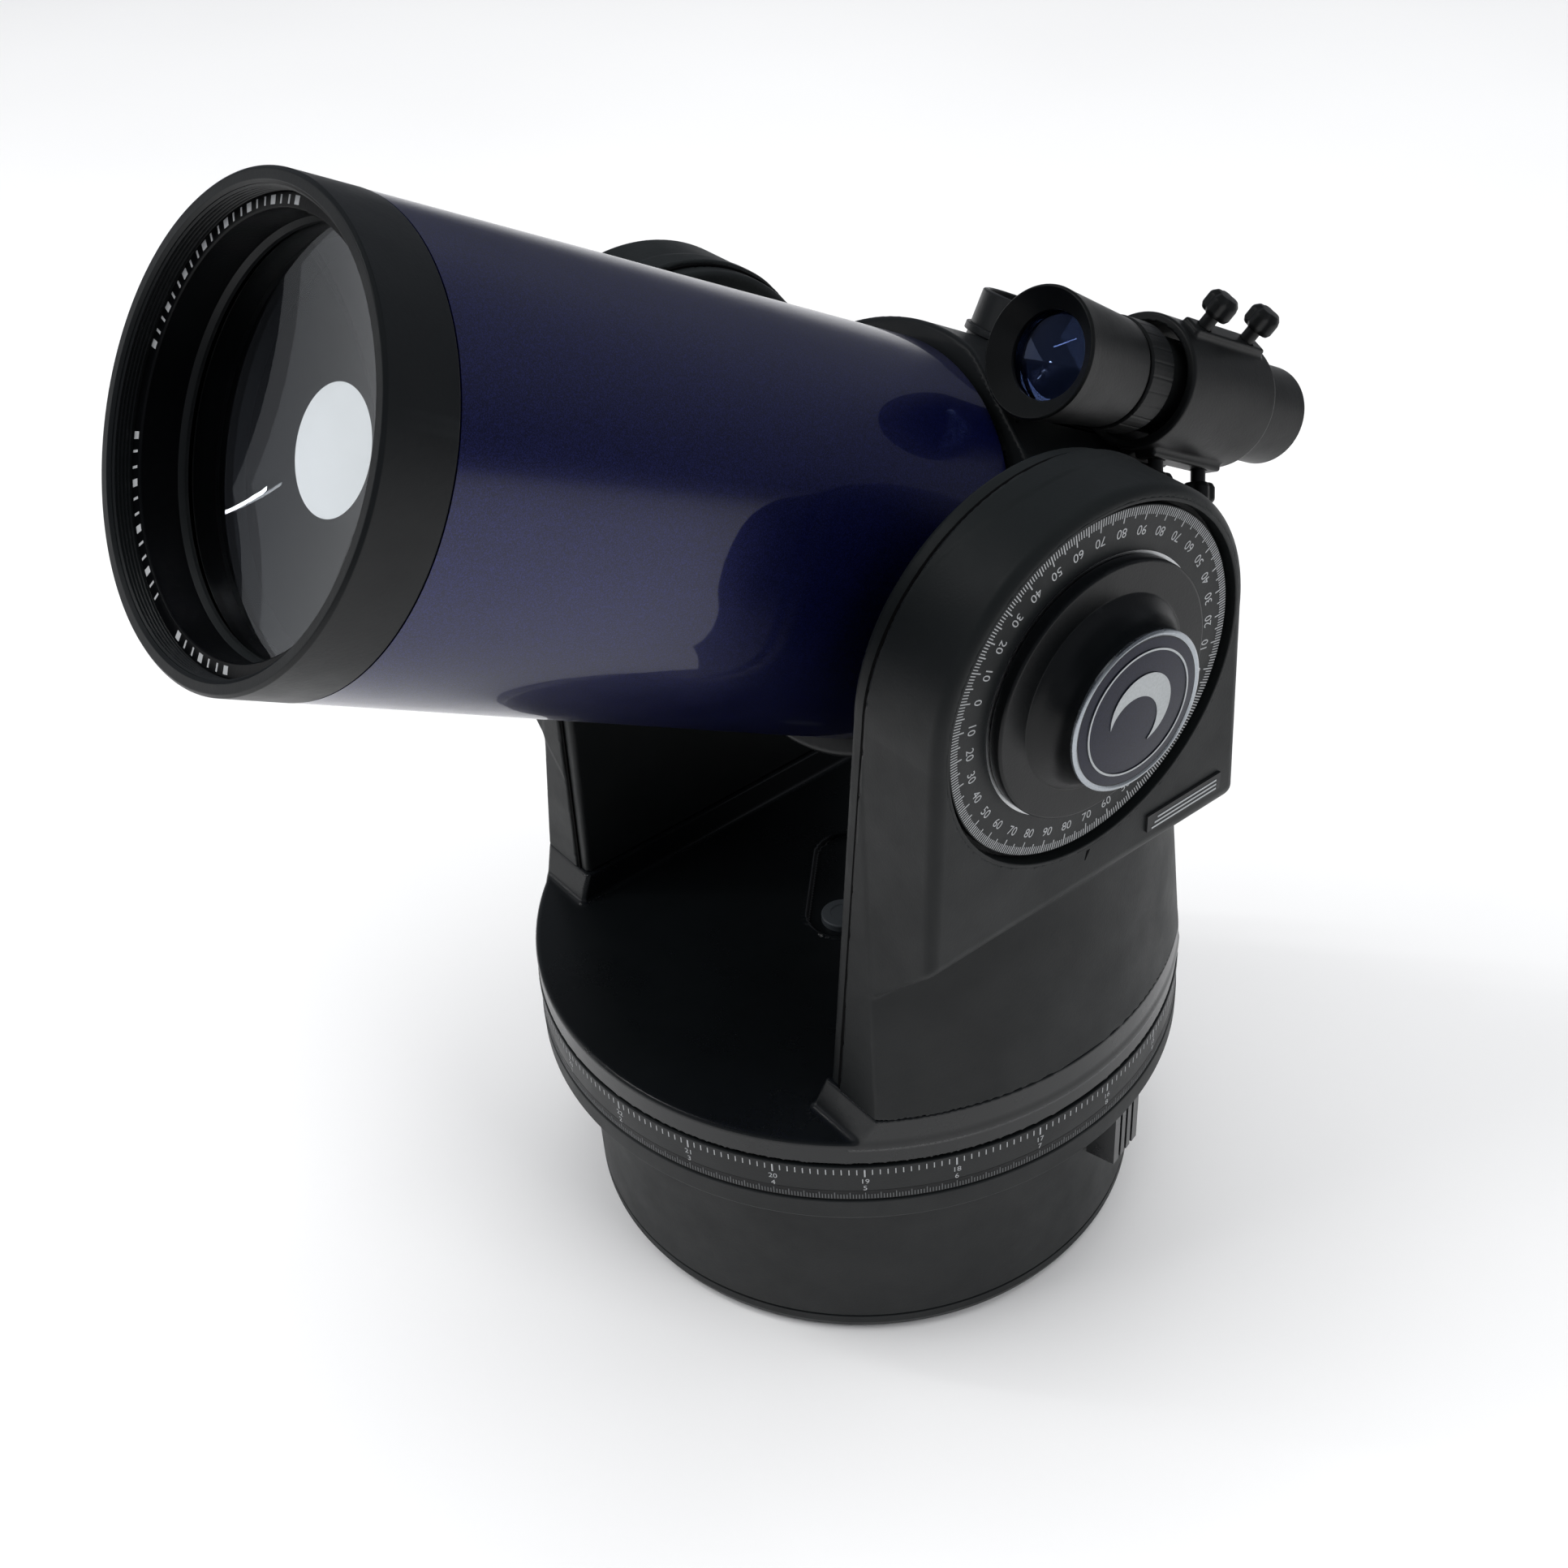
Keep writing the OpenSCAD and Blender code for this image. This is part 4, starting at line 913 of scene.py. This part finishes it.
lathe("finder_tube", [(7.0, -101, 0.3), (12.2, -101, 0.8), (13, -100, 0.6), (13, -84.6, 0.6), (12, -84),
                      (12, -39.6, 0.5), (9, -39), (9, -15), (7.6, -15), (7.6, -96), (6, -97), (6, -99)],
      FINDER_BLACK, "tube", place=FINDER, nodes=["finder_body"], slot="finder_plastic", seg=128)
lathe("finder_eye_glass", [(0, -92), (7.5, -92), (7.5, -88.6), (0, -88)], BLUE_LENS, "tube", place=FINDER,
      nodes=["finder_eye_lens"], slot="coated_glass", seg=64)


def bracket_f(x, n, l):
    r = np.hypot(x, n)
    body = rmax(rmax(r - BRACKET_R, np.abs(l - BRACKET_L) - 18.5, 0.8), 14.6 - r, 0.3)
    for angle in SCREW_ANGLES:
        out, across = turned(x, n, math.radians(angle))
        rib = rmax(rmax(np.abs(across) - 3, np.abs(l - BRACKET_L) - 15, 0.8), out - 18.8, 0.8)
        body = smin(body, np.maximum(rib, 14.8 - out), 1.2)
    out, across = turned(x, n, foot_tilt + math.pi)
    foot = rmax(rmax(np.abs(across) - 9, np.abs(l + 62) - 9, 0.8), out - 18, 0.2)
    body = smin(body, np.maximum(foot, 14.9 - out), 1.0)
    for angle in SCREW_ANGLES:
        out, across = turned(x, n, math.radians(angle))
        for row in SCREW_ROWS:
            body = np.maximum(body, np.where(out > 0, 2.05 - np.hypot(across, l - row), -1.0))
    return body


moulded("finder_clamp", bracket_f, (-20, -20, -81), (20, 20, -41), 0.5, FINDER_BLACK, "tube", place=FINDER,
        nodes=["finder_bracket"], slot="finder_plastic")


def lobed(t, r, z):
    """Five shallow hollows round a thumbscrew's head."""
    if z > 22 and r > 2:
        return r * (1 - 0.17 * (0.5 - 0.5 * math.cos(SCREW_LOBES * t)) ** 2)
    return r


for angle in SCREW_ANGLES:
    for row in SCREW_ROWS:
        screw = lathe(f"finder_thumb_{angle}_{-row}",
                      [(0, 12), (1.9, 12), (1.9, 22.2), (3.6, 22.2, 0.8), (4.3, 23.4, 0.9), (4.3, 26.6, 1.4),
                       (3.0, 28.0, 0.9), (0, 28.0)],
                      FINDER_BLACK, "tube", place=finder_ray(angle, row), slot="finder_plastic", seg=120,
                      shape=lobed)
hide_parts("finder_screws")

# ---------------------------------------------------------------- CAD nodes that stay
KEPT = {
    "base_cover": PANEL, "rubber_feet": RUBBER, "tripod_inserts": BRASS, "battery_door": PANEL,
    "battery_tray": GREY, "control_panel": PANEL, "power_switch": KNOB, "power_inlet": STEEL,
    "signal_ports": BAND, "power_lamp": LAMP, "az_spindle": STEEL, "az_motor": STEEL, "az_worm": BRASS,
    "az_lock_lever": LEVER, "circuit_board": BOARD, "az_worm_wheel": NYLON, "arm_screws": STEEL,
    "name_plate": PANEL, "alt_motor": STEEL, "alt_worm": BRASS, "baffle_tube": FLAT_BLACK,
    "trunnion_right": ALUMINIUM, "trunnion_left": ALUMINIUM, "alt_worm_wheel": NYLON,
    "mirror_carrier": ALUMINIUM, "flip_mirror": KNOB,
}
for node, mat in KEPT.items():
    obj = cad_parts[node]
    for s in obj.material_slots:
        s.material = mat

# ---------------------------------------------------------------- floor, light and camera
floor_mat, tree, bsdf = new_material("floor")
floor_tone = ramp(tree, noise(tree, 3.0, 2.0), 0.3, 0.7, ((0.86, 0.86, 0.86), (0.89, 0.89, 0.89)))
tree.links.new(floor_tone, bsdf.inputs["Base Color"])
bsdf.inputs["Roughness"].default_value = 0.6
floor_mesh = bpy.data.meshes.new("floor")
FLOOR = 9.0
corners = [(-FLOOR, -FLOOR, 0), (FLOOR, -FLOOR, 0), (FLOOR, FLOOR, 0), (-FLOOR, FLOOR, 0)]
floor_mesh.from_pydata(corners, [], [(0, 1, 2, 3)])
floor_mesh.materials.append(floor_mat)
floor = bpy.data.objects.new("floor", floor_mesh)
bpy.context.scene.collection.objects.link(floor)

world = bpy.data.worlds.new("studio")
bpy.context.scene.world = world
world.use_nodes = True
tree = world.node_tree
direction = tree.nodes.new("ShaderNodeTexCoord")
height = tree.nodes.new("ShaderNodeSeparateXYZ")
tree.links.new(direction.outputs["Generated"], height.inputs["Vector"])
fade = tree.nodes.new("ShaderNodeValToRGB")
fade.color_ramp.interpolation = "EASE"
fade.color_ramp.elements[0].position = 0.0
fade.color_ramp.elements[0].color = (0.085, 0.09, 0.10, 1)
fade.color_ramp.elements[1].position = 0.85
fade.color_ramp.elements[1].color = (0.030, 0.033, 0.040, 1)
middle = fade.color_ramp.elements.new(0.42)
middle.color = (0.28, 0.29, 0.32, 1)
tree.links.new(height.outputs["Z"], fade.inputs["Fac"])
tree.links.new(fade.outputs["Color"], tree.nodes["Background"].inputs["Color"])


def softbox(name, at, look, size, power, mirrored=False, along=(0, 0, 1)):
    """A soft light placed in metres; only a mirrored one shows in glossy surfaces."""
    light = bpy.data.lights.new(name, "AREA")
    light.shape = "RECTANGLE"
    light.size, light.size_y = size
    light.energy = power
    obj = bpy.data.objects.new(name, light)
    obj.visible_glossy = mirrored
    back = (Vector(at) - Vector(look)).normalized()
    side = Vector(along).cross(back).normalized()
    turn = Matrix((side, back.cross(side), back)).transposed().to_4x4()
    obj.matrix_world = Matrix.Translation(at) @ turn
    bpy.context.scene.collection.objects.link(obj)
    return obj


softbox("key", (-0.9, -1.5, 1.9), (0, 0, 0.1), (1.6, 1.2), 31)
softbox("side", (1.9, 0.4, 1.7), (0, 0, 0.1), (1.2, 1.6), 22)
softbox("top", (0.0, 0.4, 2.4), (0, 0, 0.1), (2.2, 2.2), 50)
softbox("strip", (-1.1, -1.0, 2.3), (0, -0.1, 0.3), (0.03, 0.9), 7, True)
softbox("lamp", (-1.35, -1.54, 0.85), (-0.02, -0.14, 0.28), (0.008, 0.30), 0.6, True,
        (-0.13, 0.055, -0.15))
softbox("card", (-1.19, -1.05, 0.455), (0, -0.129, 0.294), (0.55, 0.55), 0.85, True)
bpy.context.scene.view_settings.view_transform = "Standard"

CAMERA_AT = Vector((0.360436, -0.289619, 0.506435))
FOCAL_LENGTH, SENSOR, SHIFT_X, SHIFT_Y = 48.79, 36.0, 0.0356, 0.0067
YAW, PITCH, ROLL = math.radians(55.351), math.radians(-38.732), math.radians(-5.222)
forward = Vector((-math.sin(YAW) * math.cos(PITCH), math.cos(YAW) * math.cos(PITCH), math.sin(PITCH)))
right = forward.cross(Vector((0, 0, 1))).normalized()
up = right.cross(forward)
across = right * math.cos(ROLL) + up * math.sin(ROLL)
above = up * math.cos(ROLL) - right * math.sin(ROLL)
lens = bpy.data.cameras.new("camera")
lens.sensor_width = SENSOR
lens.lens = FOCAL_LENGTH
lens.shift_x, lens.shift_y = SHIFT_X, SHIFT_Y
lens.clip_start, lens.clip_end = 0.01, 50
camera = bpy.data.objects.new("camera", lens)
turn = Matrix((across, above, -forward)).transposed().to_4x4()
camera.matrix_world = Matrix.Translation(CAMERA_AT) @ turn
bpy.context.scene.collection.objects.link(camera)
bpy.context.scene.camera = camera
